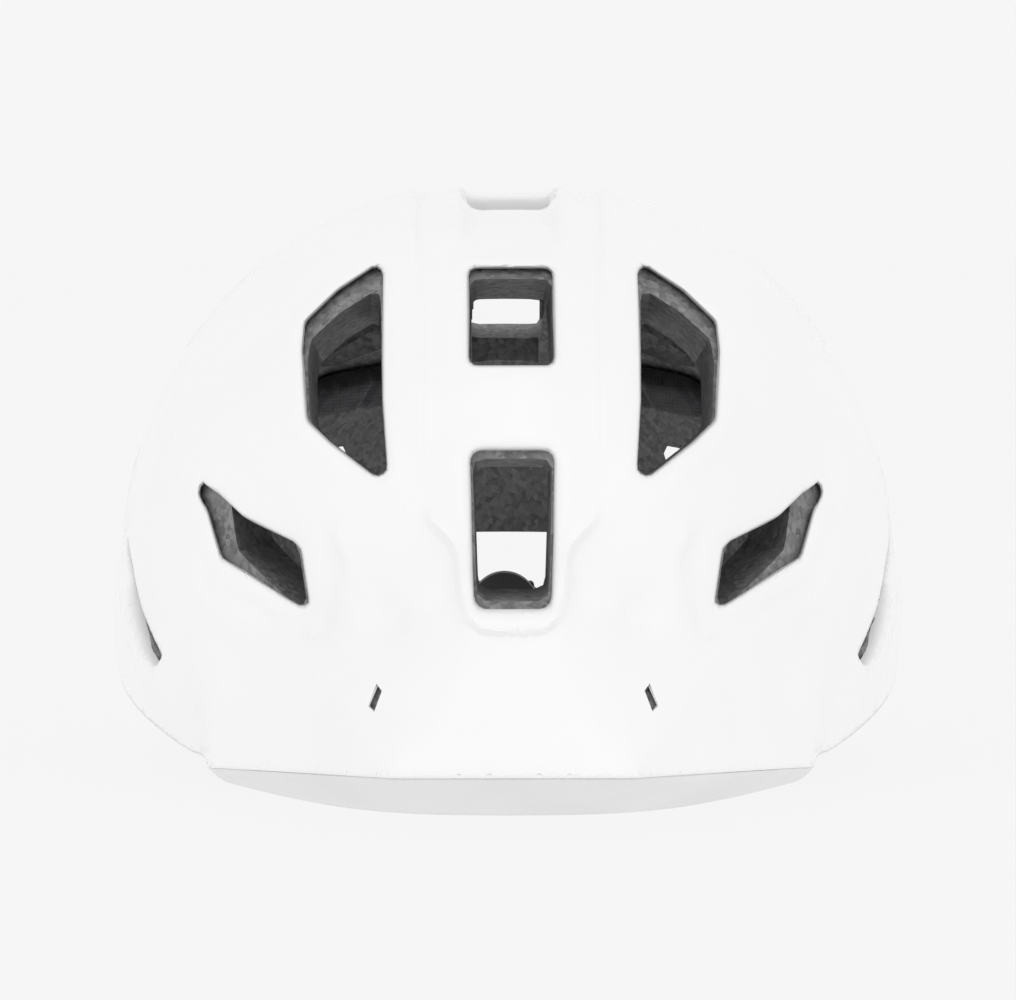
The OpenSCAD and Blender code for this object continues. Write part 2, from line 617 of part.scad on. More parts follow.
// Side-release buckle: the socket on the left strap, the plug on the right one
bkl_y = 10;
bkl_z = 6;
bkl_half_w = 12;
bkl_half_t = 4;
mouth_half_w = 9;
mouth_half_t = 2;
knuckle = [0, 6.4];
knuckle_r = 1.8;
module bkl_bar(x_a, x_b, half_w, half_t) {
    translate([x_a, bkl_y - half_w, bkl_z - half_t]) cube([x_b - x_a, 2 * half_w, 2 * half_t]);
}
module buckle_socket() {
    color([0.12, 0.12, 0.12]) difference() {
        bkl_bar(2, 26.4, bkl_half_w, bkl_half_t);
        bkl_bar(1, 19, mouth_half_w, mouth_half_t);
        bkl_bar(8, 16.5, bkl_half_w + 1, mouth_half_t);
        bkl_bar(21.4, 24.4, 8, bkl_half_t + 1);
    }
}
module buckle_plug() {
    color([0.12, 0.12, 0.12]) difference() {
        union() {
            bkl_bar(-26.4, 1.6, bkl_half_w, bkl_half_t);
            bkl_bar(1.5, 16.5, 2, 1.7);
        }
        for (side = [-1, 1]) translate([knuckle.x, bkl_y + side * knuckle.y, bkl_z]) {
            cylinder(h = 3.6, r = knuckle_r + run_gap, center = true, $fn = 32);
            translate([0, -1.7, -1.8]) cube([5, 3.4, 3.6]);
        }
        bkl_bar(-24.4, -21.4, 8, bkl_half_t + 1);
    }
}
module prong(side) {
    translate([knuckle.x, bkl_y + side * knuckle.y, bkl_z]) union() {
        cylinder(h = 3.2, r = knuckle_r, center = true, $fn = 32);
        translate([0, -0.8, -1.6]) cube([16, 1.6, 3.2]);
        translate([8.6, side > 0 ? -0.6 : -2.3, -1.6]) cube([7.4, 2.9, 3.2]);
    }
}
module front_prong() { color([0.16, 0.16, 0.16]) prong(-1); }
module rear_prong() { color([0.16, 0.16, 0.16]) prong(1); }

upper_shell();
lower_shell();
crown_liner();
base_liner();
brow_pad();
left_crown_pad();
right_crown_pad();
left_side_pad();
right_side_pad();
left_rear_pad();
right_rear_pad();
front_band();
temple_pins();
fit_ring();
dial_housing();
housing_cover();
housing_screws();
dial_knob();
dial_grip();
pinion();
left_tail();
right_tail();
strap_anchors();
left_front_strap();
left_rear_strap();
right_front_strap();
right_rear_strap();
left_divider();
right_divider();
left_cam();
right_cam();
left_chin_strap();
right_chin_strap();
chin_pad();
strap_keeper();
buckle_socket();
buckle_plug();
front_prong();
rear_prong();
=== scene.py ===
import json
import math

import bmesh
import bpy
import numpy as np
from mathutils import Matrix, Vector
from mathutils.geometry import delaunay_2d_cdt
from mathutils.kdtree import KDTree

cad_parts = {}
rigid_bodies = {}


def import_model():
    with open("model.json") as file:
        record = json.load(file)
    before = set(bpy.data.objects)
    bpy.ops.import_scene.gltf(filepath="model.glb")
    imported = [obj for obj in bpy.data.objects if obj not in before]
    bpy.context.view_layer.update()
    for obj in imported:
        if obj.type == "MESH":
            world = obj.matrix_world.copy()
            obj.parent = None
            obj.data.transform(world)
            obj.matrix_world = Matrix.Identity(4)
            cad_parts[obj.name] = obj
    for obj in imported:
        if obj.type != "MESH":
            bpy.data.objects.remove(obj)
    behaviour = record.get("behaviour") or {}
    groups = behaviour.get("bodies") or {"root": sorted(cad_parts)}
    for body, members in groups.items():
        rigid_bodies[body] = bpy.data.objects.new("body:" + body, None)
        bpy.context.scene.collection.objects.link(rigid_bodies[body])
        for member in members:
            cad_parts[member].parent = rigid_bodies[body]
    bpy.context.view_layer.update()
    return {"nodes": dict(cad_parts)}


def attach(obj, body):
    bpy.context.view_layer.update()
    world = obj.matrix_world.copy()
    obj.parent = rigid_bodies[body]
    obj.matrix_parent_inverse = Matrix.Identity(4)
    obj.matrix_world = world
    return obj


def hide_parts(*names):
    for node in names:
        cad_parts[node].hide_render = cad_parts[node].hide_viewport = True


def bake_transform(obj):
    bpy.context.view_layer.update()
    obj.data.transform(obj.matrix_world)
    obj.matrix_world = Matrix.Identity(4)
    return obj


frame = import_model()

MM = 0.001
CENTRE = np.array([0.0, 5.0, 52.8])     # middle of the egg that the shell follows
CROWN_Z = 152.8
CUT_Z = -3.0
HUB = np.array([0.0, 0.0, 68.3])        # the front vents' outlines are seen from here
TILT = 5.0
BAND_HALF = 24.6                        # half the width of the raised middle band
LONG_EDGE = 9                           # a skin edge longer than this bridges a gap
LONG_SKIRT = 8
WEB_WIDTH = 15
WEB_HALF = 0.7                          # half the thickness of the webbing


# ---------------------------------------------------------------- the shell's shape
def unit(v):
    v = np.asarray(v, float)
    return v / np.maximum(np.linalg.norm(v, axis=-1, keepdims=True), 1e-9)


def ramp(x, a, b):
    t = np.clip((np.asarray(x, float) - a) / (b - a), 0, 1)
    return t * t * (3 - 2 * t)


def soft_min(a, b, k):
    h = np.maximum(k - np.abs(a - b), 0) / k
    return np.minimum(a, b) - h * h * k / 4


def aim(az, el):
    az, el = np.radians(az), np.radians(el)
    return np.stack([np.sin(az) * np.cos(el), -np.cos(az) * np.cos(el), np.sin(el) + 0 * az], -1)


def angles(d):
    az = np.degrees(np.arctan2(d[..., 0], -d[..., 1])) % 360
    return az, np.degrees(np.arcsin(np.clip(d[..., 2] / np.linalg.norm(d, axis=-1), -1, 1)))


def egg(d, side, front, rear, up, down):
    y = np.where(d[..., 1] < 0, front, rear)
    z = np.where(d[..., 2] > 0, up, down)
    return 1 / np.sqrt((d[..., 0] / side) ** 2 + (d[..., 1] / y) ** 2 + (d[..., 2] / z) ** 2)


def dome(d):
    return egg(d, 105, 132, 128, 104, 195)


def head(d, grow=0.0):
    return egg(d, 83 + grow, 102 + grow, 106 + grow, 74 + grow, 170)


FOLD_LOW, FOLD_TOP, SPLIT = [30.3, -158, 14.7], [35.2, -114, 77.8], [53, -112, 40.6]
CORNER, RIDGE_TOP, TEMPLE = [74.5, -125, 13.3], [83.6, -76, 54.8], [79, -84, 8]


def facet(a, b, c):
    a, b, c = np.array([a, b, c], float)
    n = unit(np.cross(b - a, c - a))
    n = n if n[1] < 0 else -n
    return n, float(n @ (a - CENTRE))


def brim_facets():
    mid = [facet(FOLD_LOW, FOLD_TOP, [-FOLD_LOW[0], *FOLD_LOW[1:]]),
           (unit([0, -0.5, 0.866]), 100.0), (np.array([0, 0, 1.0]), 85.0), (np.array([0, 1.0, 0]), 60.0)]
    side = [facet(FOLD_LOW, FOLD_TOP, SPLIT), facet(FOLD_LOW, SPLIT, CORNER),
            facet(CORNER, RIDGE_TOP, TEMPLE), (np.array([0.8, 0.6, 0]), 50.0)]
    return mid + side + [(n * [-1, 1, 1], p) for n, p in side]


FACETS = brim_facets()


def brim(d):
    r = np.full(d.shape[:-1], 1e3)
    for n, p in FACETS:
        s = d @ n
        r = np.where(s > 0.02, np.minimum(r, p / np.maximum(s, 0.02)), r)
    return r


def under_z(y):
    return np.interp(y, [-175, -158, -125, -84], [13.9, 12.9, 9.9, 6.1])


def upper_r(d):
    level = (CROWN_Z - CENTRE[2]) / np.maximum(d[..., 2], 0.3)
    flat = soft_min(dome(d), np.where(d[..., 2] > 0.3, level, 1e3), 3)
    return -soft_min(-flat, -brim(d), 4)


def brim_edge():
    """The elevation of the brim's lower edge, from the middle of the brow to the corner."""
    az = np.linspace(0, 42, 85)
    lo, hi = np.full(85, -26.0), np.full(85, -4.0)
    for _ in range(40):
        mid = (lo + hi) / 2
        d = aim(az, mid)
        p = CENTRE + upper_r(d)[:, None] * d
        above = p[:, 2] > under_z(p[:, 1])
        lo, hi = np.where(above, lo, mid), np.where(above, mid, hi)
    return az, lo


BRIM_AZ, BRIM_EL = brim_edge()


def edge_el(az):
    a = np.where(az > 180, 360 - az, az)
    return np.interp(a, np.append(BRIM_AZ, [50, 180]), np.append(BRIM_EL, [-20, -20]))


def shell_r(d):
    """Distance from the centre to the bare shell, its brim's underside included."""
    az, el = angles(d)
    edge = edge_el(az)
    over = upper_r(aim(az, edge))
    e = np.radians(edge)
    eh, ez = over * np.cos(e), over * np.sin(e)
    f = math.sqrt(1 - ((CENTRE[2] - CUT_Z) / 195) ** 2)
    lh, lz = f * dome(aim(az, 0 * az)), CUT_Z - CENTRE[2]
    c, s = np.cos(np.radians(el)), np.sin(np.radians(el))
    dh, dz = lh - eh, lz - ez
    across = c * dz - s * dh
    under = np.abs(eh * dz - ez * dh) / np.maximum(np.abs(across), 1e-6)
    under = np.where(el > edge + 5, 1e3, under)
    here = upper_r(d)
    side = np.where(az > 180, 360 - az, az)
    soft = 0.01 + 4.5 * (1 - ramp(side, 34, 42))
    front = np.maximum(soft_min(here, under, soft), dome(d))
    back = np.where(el >= edge, here, np.maximum(np.minimum(under, here + 4), dome(d)))
    return np.where(side < 42, front, back)


def on_shell(d):
    d = unit(d)
    return CENTRE + shell_r(d)[..., None] * d


def axes_of(az, el):
    """The frame a vent is drawn in: across, up and outwards."""
    a, e = math.radians(az), math.radians(el)
    out = np.array([math.sin(a) * math.cos(e), -math.cos(a) * math.cos(e), math.sin(e)])
    across = np.array([math.cos(a), math.sin(a), 0])
    return across, np.cross(out, across), out


def drop_on(points, hub, az, el):
    """Where lines along a vent's axis meet the bare shell."""
    across, up, out = axes_of(az, el)
    points = np.asarray(points, float)
    base = hub + points[:, :1] * across + points[:, 1:] * up
    near, far = np.full(len(points), 20.0), np.full(len(points), 230.0)
    for _ in range(40):
        mid = (near + far) / 2
        v = base + mid[:, None] * out - CENTRE
        inside = np.linalg.norm(v, axis=1) < shell_r(unit(v))
        near, far = np.where(inside, mid, near), np.where(inside, far, mid)
    return base + near[:, None] * out


def rounded(outline, radius, step=1.4):
    """A closed outline with its corners rounded, as evenly spaced points."""
    pts = [np.array(p, float) for p in outline]
    n = len(pts)
    path = []
    for i in range(n):
        a, b, c = pts[i - 1], pts[i], pts[(i + 1) % n]
        u, v = unit(a - b), unit(c - b)
        bend = math.acos(np.clip(u @ v, -1, 1))
        reach = radius / max(math.tan(bend / 2), 1e-6)
        reach = min(reach, 0.47 * np.linalg.norm(a - b), 0.47 * np.linalg.norm(c - b))
        p, q = b + u * reach, b + v * reach
        for t in np.linspace(0, 1, 7):
            path.append((1 - t) ** 2 * p + 2 * t * (1 - t) * b + t * t * q)
    return evenly(np.array(path), step, True)


def evenly(path, step, closed):
    path = np.asarray(path, float)
    if closed:
        path = np.vstack([path, path[:1]])
    run = np.concatenate([[0], np.cumsum(np.linalg.norm(np.diff(path, axis=0), axis=1))])
    keep = np.concatenate([[True], np.diff(run) > 1e-9])
    path, run = path[keep], run[keep]
    count = max(4, int(round(run[-1] / step)))
    at = np.linspace(0, run[-1], count + 1)
    out = np.stack([np.interp(at, run, path[:, k]) for k in range(path.shape[1])], -1)
    return out[:-1] if closed else out


# vents: outline, hub, azimuth, elevation, corner radius, lip radius, then the tunnel: depths, spread, shift
CHEEK = [[35.2, 61.5], [33.2, 60], [32.9, 25.5], [31.6, 7], [34.5, 5.6], [46.4, 14.6],
         [52.5, 20.3], [54.2, 38.9], [53.7, 46.5], [45, 55]]
TEMPLE_VENT = [[80.6, 5.2], [70.1, -3.9], [56.2, -10.6], [54.4, -12.5], [52.2, -26.8],
               [54.5, -27.4], [76, -15], [79.5, -3.9], [81.3, 2]]
MIDDLE_VENTS = [
    ([[-10.9, 12.9], [10.9, 12.9], [9.6, -27.2], [-9.6, -27.2]],
     HUB, 0, TILT, 3.4, 2.6, 150, 72, [0.84, 0.71], [0, 0.4]),
    ([[-11.2, 34.7], [11.2, 34.7], [11.2, 61.5], [-11.2, 61.5]],
     HUB, 0, TILT, 2.4, 2.6, 110, 30, [0.88, 0.72], [0, -6]),
    ([[-11.3, -30], [11.3, -30], [11.3, 16], [-11.3, 16]], CENTRE, 0, 90, 3, 2.2, 120, 60, [1, 1], [0, 0]),
    ([[-10.8, 32], [10.8, 32], [10.8, 58], [-10.8, 58]], CENTRE, 0, 90, 3, 2.2, 120, 60, [1, 1], [0, 0]),
    ([[-10.5, 43], [10.5, 43], [10.5, 58], [-10.5, 58]], CENTRE, 180, 8, 2.5, 2.2, 140, 66, [1, 1], [0, 0])]
SIDE_VENTS = [
    (CHEEK, HUB, 0, TILT, 3.4, 2.6, 118, 28, [0.78, 0.72], [-1, -6]),
    (TEMPLE_VENT, HUB, 0, TILT, 2.6, 2.2, 120, 52, [1, 1], [-16, 6]),
    ([[-27, -21], [-10, -10], [1, 1], [9, 6], [15, 7], [14, 3.4], [5, -1.5], [-6, -10.5],
      [-19, -20.5], [-25, -23.4]],
     CENTRE, 70, 0, 1.6, 1.4, 125, 66, [0.7, 0.6], [2, 3]),
    ([[-13, 14], [28, 12], [36, 4], [10, 0], [-12, 3]], CENTRE, 95, 5, 3, 2.2, 125, 66, [0.8, 0.8], [0, 0]),
    ([[-20, -4], [-15, 9], [19, 12], [25, 3], [10, -9], [-10, -10]],
     CENTRE, 100, 42, 4, 2.4, 125, 66, [0.7, 0.7], [0, 0]),
    ([[-18, -9], [-17, 6], [8, 11], [16, 3], [12, -8], [-4, -13]],
     CENTRE, 140, 42, 4, 2.4, 125, 66, [0.75, 0.75], [0, 0]),
    ([[-68, 5], [-64, 17], [-55.5, 21.7], [-44.6, 24.4], [-47.4, 16], [-49, 8], [-58, 3]],
     CENTRE, 180, 0, 3, 2.2, 135, 60, [1, 1], [0, 0]),
    ([[-20, 3], [14, 12], [20, 3], [4, -8], [-17, -7]], CENTRE, 122, -4, 3, 2.2, 135, 76, [0.8, 0.8], [0, 0])]


def mirrored(points):
    return np.asarray(points, float) * [-1, 1, 1]


def build_vents():
    """Each vent as (rim points on the shell, lip radius, outline, frame, tunnel numbers, mirrored or not)."""
    made = []
    for group, sides in ((MIDDLE_VENTS, (False,)), (SIDE_VENTS, (False, True))):
        for outline, hub, az, el, corner, lip, far, near, spread, shift in group:
            flat = rounded(outline, corner)
            rim = drop_on(flat, hub, az, el)
            for flip in sides:
                made.append(dict(rim=mirrored(rim)[::-1] if flip else rim,
                                 lip=lip, flat=flat, hub=hub, az=az, el=el,
                                 far=far, near=near, spread=spread, shift=shift, flip=flip))
    return made


VENTS = build_vents()


def to_map(p):
    """The shell unrolled on a disc: crown in the middle, rim at the edge."""
    az, el = angles(p - CENTRE)
    rho, a = 90 - el, np.radians(az)
    return np.stack([rho * np.sin(a), -rho * np.cos(a)], -1)


def from_map(q):
    rho = np.linalg.norm(q, axis=-1)
    az = np.degrees(np.arctan2(q[..., 0], -q[..., 1]))
    return aim(az % 360, 90 - rho)


def inside_of(points, loop):
    """Which flat points lie inside a closed loop."""
    loop = np.asarray(loop, float)
    lo, hi = loop.min(0), loop.max(0)
    near = ((points >= lo) & (points <= hi)).all(1)
    x, y = points[near, 0], points[near, 1]
    hit = np.zeros(len(x), bool)
    for (x1, y1), (x2, y2) in zip(loop, np.roll(loop, -1, 0)):
        if y1 != y2:
            hit ^= ((y1 > y) != (y2 > y)) & (x < (x2 - x1) * (y - y1) / (y2 - y1) + x1)
    out = np.zeros(len(points), bool)
    out[near] = hit
    return out


def tree_of(points):
    tree = KDTree(len(points))
    for i, p in enumerate(points):
        tree.insert((p[0], p[1], p[2] if len(p) > 2 else 0), i)
    tree.balance()
    return tree


def to_piece(points, p, q):
    v = q - p
    t = np.clip(((points - p) * v).sum(-1) / np.maximum((v * v).sum(-1), 1e-12), 0, 1)
    return ((points - p - t[..., None] * v) ** 2).sum(-1)


def distance_to(points, path, closed=True):
    """Distance from each point to a run of straight pieces, in two or three dimensions."""
    a = np.asarray(path, float)
    n = len(a)
    if n < 30:
        pairs = [(a[i], a[(i + 1) % n]) for i in range(n if closed else n - 1)]
        return np.sqrt(np.min([to_piece(points, p, q) for p, q in pairs], axis=0))
    tree = tree_of(a)
    flat = a.shape[1] == 2
    i = np.array([tree.find((p[0], p[1], 0 if flat else p[2]))[1] for p in points])
    if closed:
        before, after = (i - 1) % n, (i + 1) % n
    else:
        before, after = np.maximum(i - 1, 0), np.minimum(i + 1, n - 1)
    return np.sqrt(np.minimum(to_piece(points, a[before], a[i]), to_piece(points, a[i], a[after])))


def signed(points, loop):
    d = distance_to(points, loop)
    return np.where(inside_of(points, loop), d, -d)


def front_view(p):
    """Across and up, as seen along the front vents' axis."""
    across, up, _ = axes_of(0, TILT)
    v = p - HUB
    return np.stack([v @ across, v @ up], -1)


BAND = [(BAND_HALF, 220), (BAND_HALF, 71.5), (23.0, 51.7), (22.6, 25.4), (22.4, 2), (21.6, -4.8),
        (15.4, -11.2), (14.0, -14.5),
        (13.4, -24), (11.6, -29.6), (8.2, -32.6), (4, -33.4)]
BAND_LOOP = np.array(BAND + [(-x, y) for x, y in BAND[::-1]], float)
DISH = np.array([(86, -9), (79.2, -24), (66, -29.6), (56, -34.5), (50, -36.6),
                 (46.6, -33), (44.8, -26), (42.6, -16),
                 (46, -9), (56, -6), (74, 8)], float)
FLARE = np.array([(-64, 24), (-57, 30), (-48, 35.2), (-40, 41), (-31, 46.5), (-20, 49.6),
                  (0, 51), (40, 50), (84, 46),
                  (120, 40), (120, -30), (-75, -30), (-72, 14)], float)
RIB_VIEW = [(57, 72), (75.6, 56.2), (84.6, 37.6), (89.6, 27.2), (91.0, 14), (87.6, 0.8)]


def rib_line():
    path = drop_on(evenly(RIB_VIEW, 3, False), HUB, 0, TILT)
    return path


RIB = rib_line()


def relief(p):
    """How far the finished skin stands proud of the bare shell, in millimetres."""
    x, y, z = p[:, 0], p[:, 1], p[:, 2]
    uv = front_view(p)
    ax = np.abs(x)
    mirror_uv = np.stack([ax, uv[:, 1]], -1)
    # the middle band: sunk between two rails over the head, raised round the brow vent
    s = np.where(y < 0, signed(uv, BAND_LOOP), BAND_HALF - ax)
    low = ramp(-uv[:, 1], -6, 12) * ramp(-y, 40, 80)
    tall = -1.1 * (1 - low) * ramp(z, 66, 96) + 2.5 * low
    out = tall * ramp(s, -0.75, 0.75)
    # the rails at both sides of it fade towards the temples
    out += 0.8 * ramp(ax, 24, 25.5) * (1 - ramp(ax, 30.5, 33)) * ramp(z, 118, 150)
    # the channel that leads to the crown vent
    narrow = 2 * ramp(y, -70, -20)
    channel = 1 - ramp(ax + narrow, 12.2, 14.6)
    out -= channel * (4.4 * ramp(y, -84, -30) - 3.4 * ramp(y, 11, 20)) * (1 - ramp(y, 84, 96))
    # the dish below the temple vent
    dish = signed(mirror_uv, DISH)
    out -= 1.5 * ramp(dish, -1.3, 1.3) * ramp(-y, 20, 40)
    # the rib over the temple and the flared lower side
    rib = np.minimum(distance_to(p, RIB, False), distance_to(p, mirrored(RIB), False))
    out += 1.3 * np.exp(-(rib / 3.4) ** 2)
    flare = signed(np.stack([y, z], -1), FLARE)
    fade = (1 - ramp(y, 18, 84)) * (0.3 + 0.7 * ramp(z, 4, 30))
    out += 3.2 * ramp(flare, -1.9, 1.9) * fade
    return out


def vent_axis(vent):
    out = axes_of(vent["az"], vent["el"])[2]
    return out * [-1, 1, 1] if vent["flip"] else out


def lips(p, d):
    """The rolled lips: how each point moves, down its vent's axis, by distance from the vent's edge."""
    move = np.zeros((len(p), 3))
    for vent in VENTS:
        rim, r = vent["rim"], vent["lip"]
        near = np.linalg.norm(p - rim.mean(0), axis=1) < np.linalg.norm(rim - rim.mean(0), axis=1).max() + 12
        if not near.any():
            continue
        gap = distance_to(p[near], rim)
        k = np.clip(1 - gap / r, 0, 1)
        drop = r * (1 - np.sqrt(np.clip(1 - k * k, 0, 1)))
        swell = 0.35 * np.exp(-((gap - 4.2) / 2.2) ** 2)
        move[near] += swell[:, None] * d[near] - drop[:, None] * vent_axis(vent)
    return move


# ---------------------------------------------------------------- where the skin is split and where it ends
RIM_Y = [-119, -114, -104, -92, -80, -66, -50, -28, -5, 8, 20, 32, 45, 58, 70, 79, 86]
RIM_Z = [-1.2, -0.8, 1.0, 3.3, 5.8, 8.8, 12.4, 16.4, 20, 22, 22.8, 22.2, 19, 13.8, 8, 3, 0]


def rim_z(y):
    return np.interp(y, RIM_Y, RIM_Z)


def seam_z(y):
    return np.maximum(rim_z(y) + np.interp(y, [50, 86], [1.3, 5]), np.where(y < -84, under_z(y), -50))


def level_line(height):
    """The elevation, at each azimuth, where the shell crosses a height that depends on y."""
    def solve(az):
        lo, hi = np.full(len(az), -27.0), np.full(len(az), 20.0)
        for _ in range(40):
            mid = (lo + hi) / 2
            p = on_shell(aim(az, mid))
            above = p[:, 2] > height(p[:, 1])
            lo, hi = np.where(above, lo, mid), np.where(above, mid, hi)
        return on_shell(aim(az, hi))
    return solve


def arch_line(outline):
    flat = np.array(outline, float)
    flat[:, 1] -= CENTRE[2]
    return drop_on(flat * [-1, 1], CENTRE, 180, 0)


def edge_run(height, arch, az_end, count):
    """One side's edge from the brow to the middle of the dial arch."""
    az = np.concatenate([np.linspace(0, 36, 42), np.linspace(36, az_end, count)[1:]])
    side = level_line(height)(az)
    if height is seam_z:
        el = angles(side - CENTRE)[1]
        brim_el = edge_el(az) - 0.1 - 40 * ramp(az, 38, 47)
        side = on_shell(aim(az, np.maximum(el, brim_el)))
    dense = []
    for a, b in zip(arch[:-1], arch[1:]):
        for t in np.linspace(0, 1, 9)[:-1]:
            dense.append(np.array(a) * (1 - t) + np.array(b) * t)
    dense.append(np.array(arch[-1], float))
    return np.vstack([side, arch_line(dense)])


def whole_loop(half):
    return np.vstack([half, mirrored(half)[-2:0:-1]])


SEAM_ARCH = [(35, 5), (35, 20), (33.4, 27), (28.8, 39), (25.6, 44.5), (19, 50.2), (14, 52), (0, 52)]
RIM_ARCH = [(31, 0), (31, 20), (29.6, 26), (25, 37.4), (22, 41.6), (17, 46.6), (13, 48), (0, 48)]
SEAM = whole_loop(edge_run(seam_z, SEAM_ARCH, 163.3, 110))
RIM = whole_loop(edge_run(rim_z, RIM_ARCH, 165.6, 110))


# ---------------------------------------------------------------- helpers that make meshes
def new_piece(name, verts, faces, body="helmet", slot=None, smooth=35, material=None):
    mesh = bpy.data.meshes.new(name)
    points = [tuple(v) for v in np.asarray(verts, float) * MM]
    mesh.from_pydata(points, [], [tuple(map(int, f)) for f in faces])
    mesh.validate()
    ob = bpy.data.objects.new(name, mesh)
    bpy.context.scene.collection.objects.link(ob)
    if smooth:
        smooth_piece(ob, smooth)
    if material:
        ob.data.materials.append(material)
    if body:
        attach(ob, body)
    return ob


def deselect():
    bpy.ops.object.select_all(action="DESELECT")


def smooth_piece(ob, angle=35):
    deselect()
    ob.select_set(True)
    bpy.context.view_layer.objects.active = ob
    bpy.ops.object.shade_smooth_by_angle(angle=math.radians(angle))
    ob.select_set(False)


def apply_modifiers(ob):
    deselect()
    ob.select_set(True)
    bpy.context.view_layer.objects.active = ob
    for m in list(ob.modifiers):
        bpy.ops.object.modifier_apply(modifier=m.name)
    ob.select_set(False)


def hex_grid(radius, step):
    rows = int(radius / (step * 0.866)) + 1
    out = []
    for j in range(-rows, rows + 1):
        x = np.arange(-int(radius / step) - 1, int(radius / step) + 2) * step + (j % 2) * step / 2
        out.append(np.stack([x, np.full(len(x), j * step * 0.866)], -1))
    out = np.vstack(out)
    return out[np.linalg.norm(out, axis=1) < radius]


def mesh_map(loops, lines, loose):
    """Triangles over the unrolled shell that keep every loop and line as edges."""
    points, edges = [], []
    start = 0
    for loop in loops:
        n = len(loop)
        points.append(loop)
        edges += [(start + i, start + (i + 1) % n) for i in range(n)]
        start += n
    for line in lines:
        n = len(line)
        points.append(line)
        edges += [(start + i, start + i + 1) for i in range(n - 1)]
        start += n
    points.append(loose)
    flat = [(float(a), float(b)) for a, b in np.vstack(points)]
    verts, _, tris, *_ = delaunay_2d_cdt(flat, edges, [], 0, 1e-5, False)
    return np.array([(v.x, v.y) for v in verts]), np.array(tris)


def side_rings(path, offsets, closed):
    """Rows of points beside a line on the shell, at these distances from it."""
    nxt = np.roll(path, -1, 0) if closed else np.vstack([path[1:], path[-1:] * 2 - path[-2:-1]])
    prv = np.roll(path, 1, 0) if closed else np.vstack([path[:1] * 2 - path[1:2], path[:-1]])
    beside = unit(np.cross(unit(nxt - prv), unit(path - CENTRE)))
    return [path + s * beside for s in offsets]


def along_crown(x, y):
    """A run of points on the shell at one distance from the middle plane."""
    up = 99 * np.sqrt(np.clip(1 - ((y - 5) / 133) ** 2, 0.02, 1))
    return on_shell(np.stack([np.full(len(y), x), y - 5, up], -1))


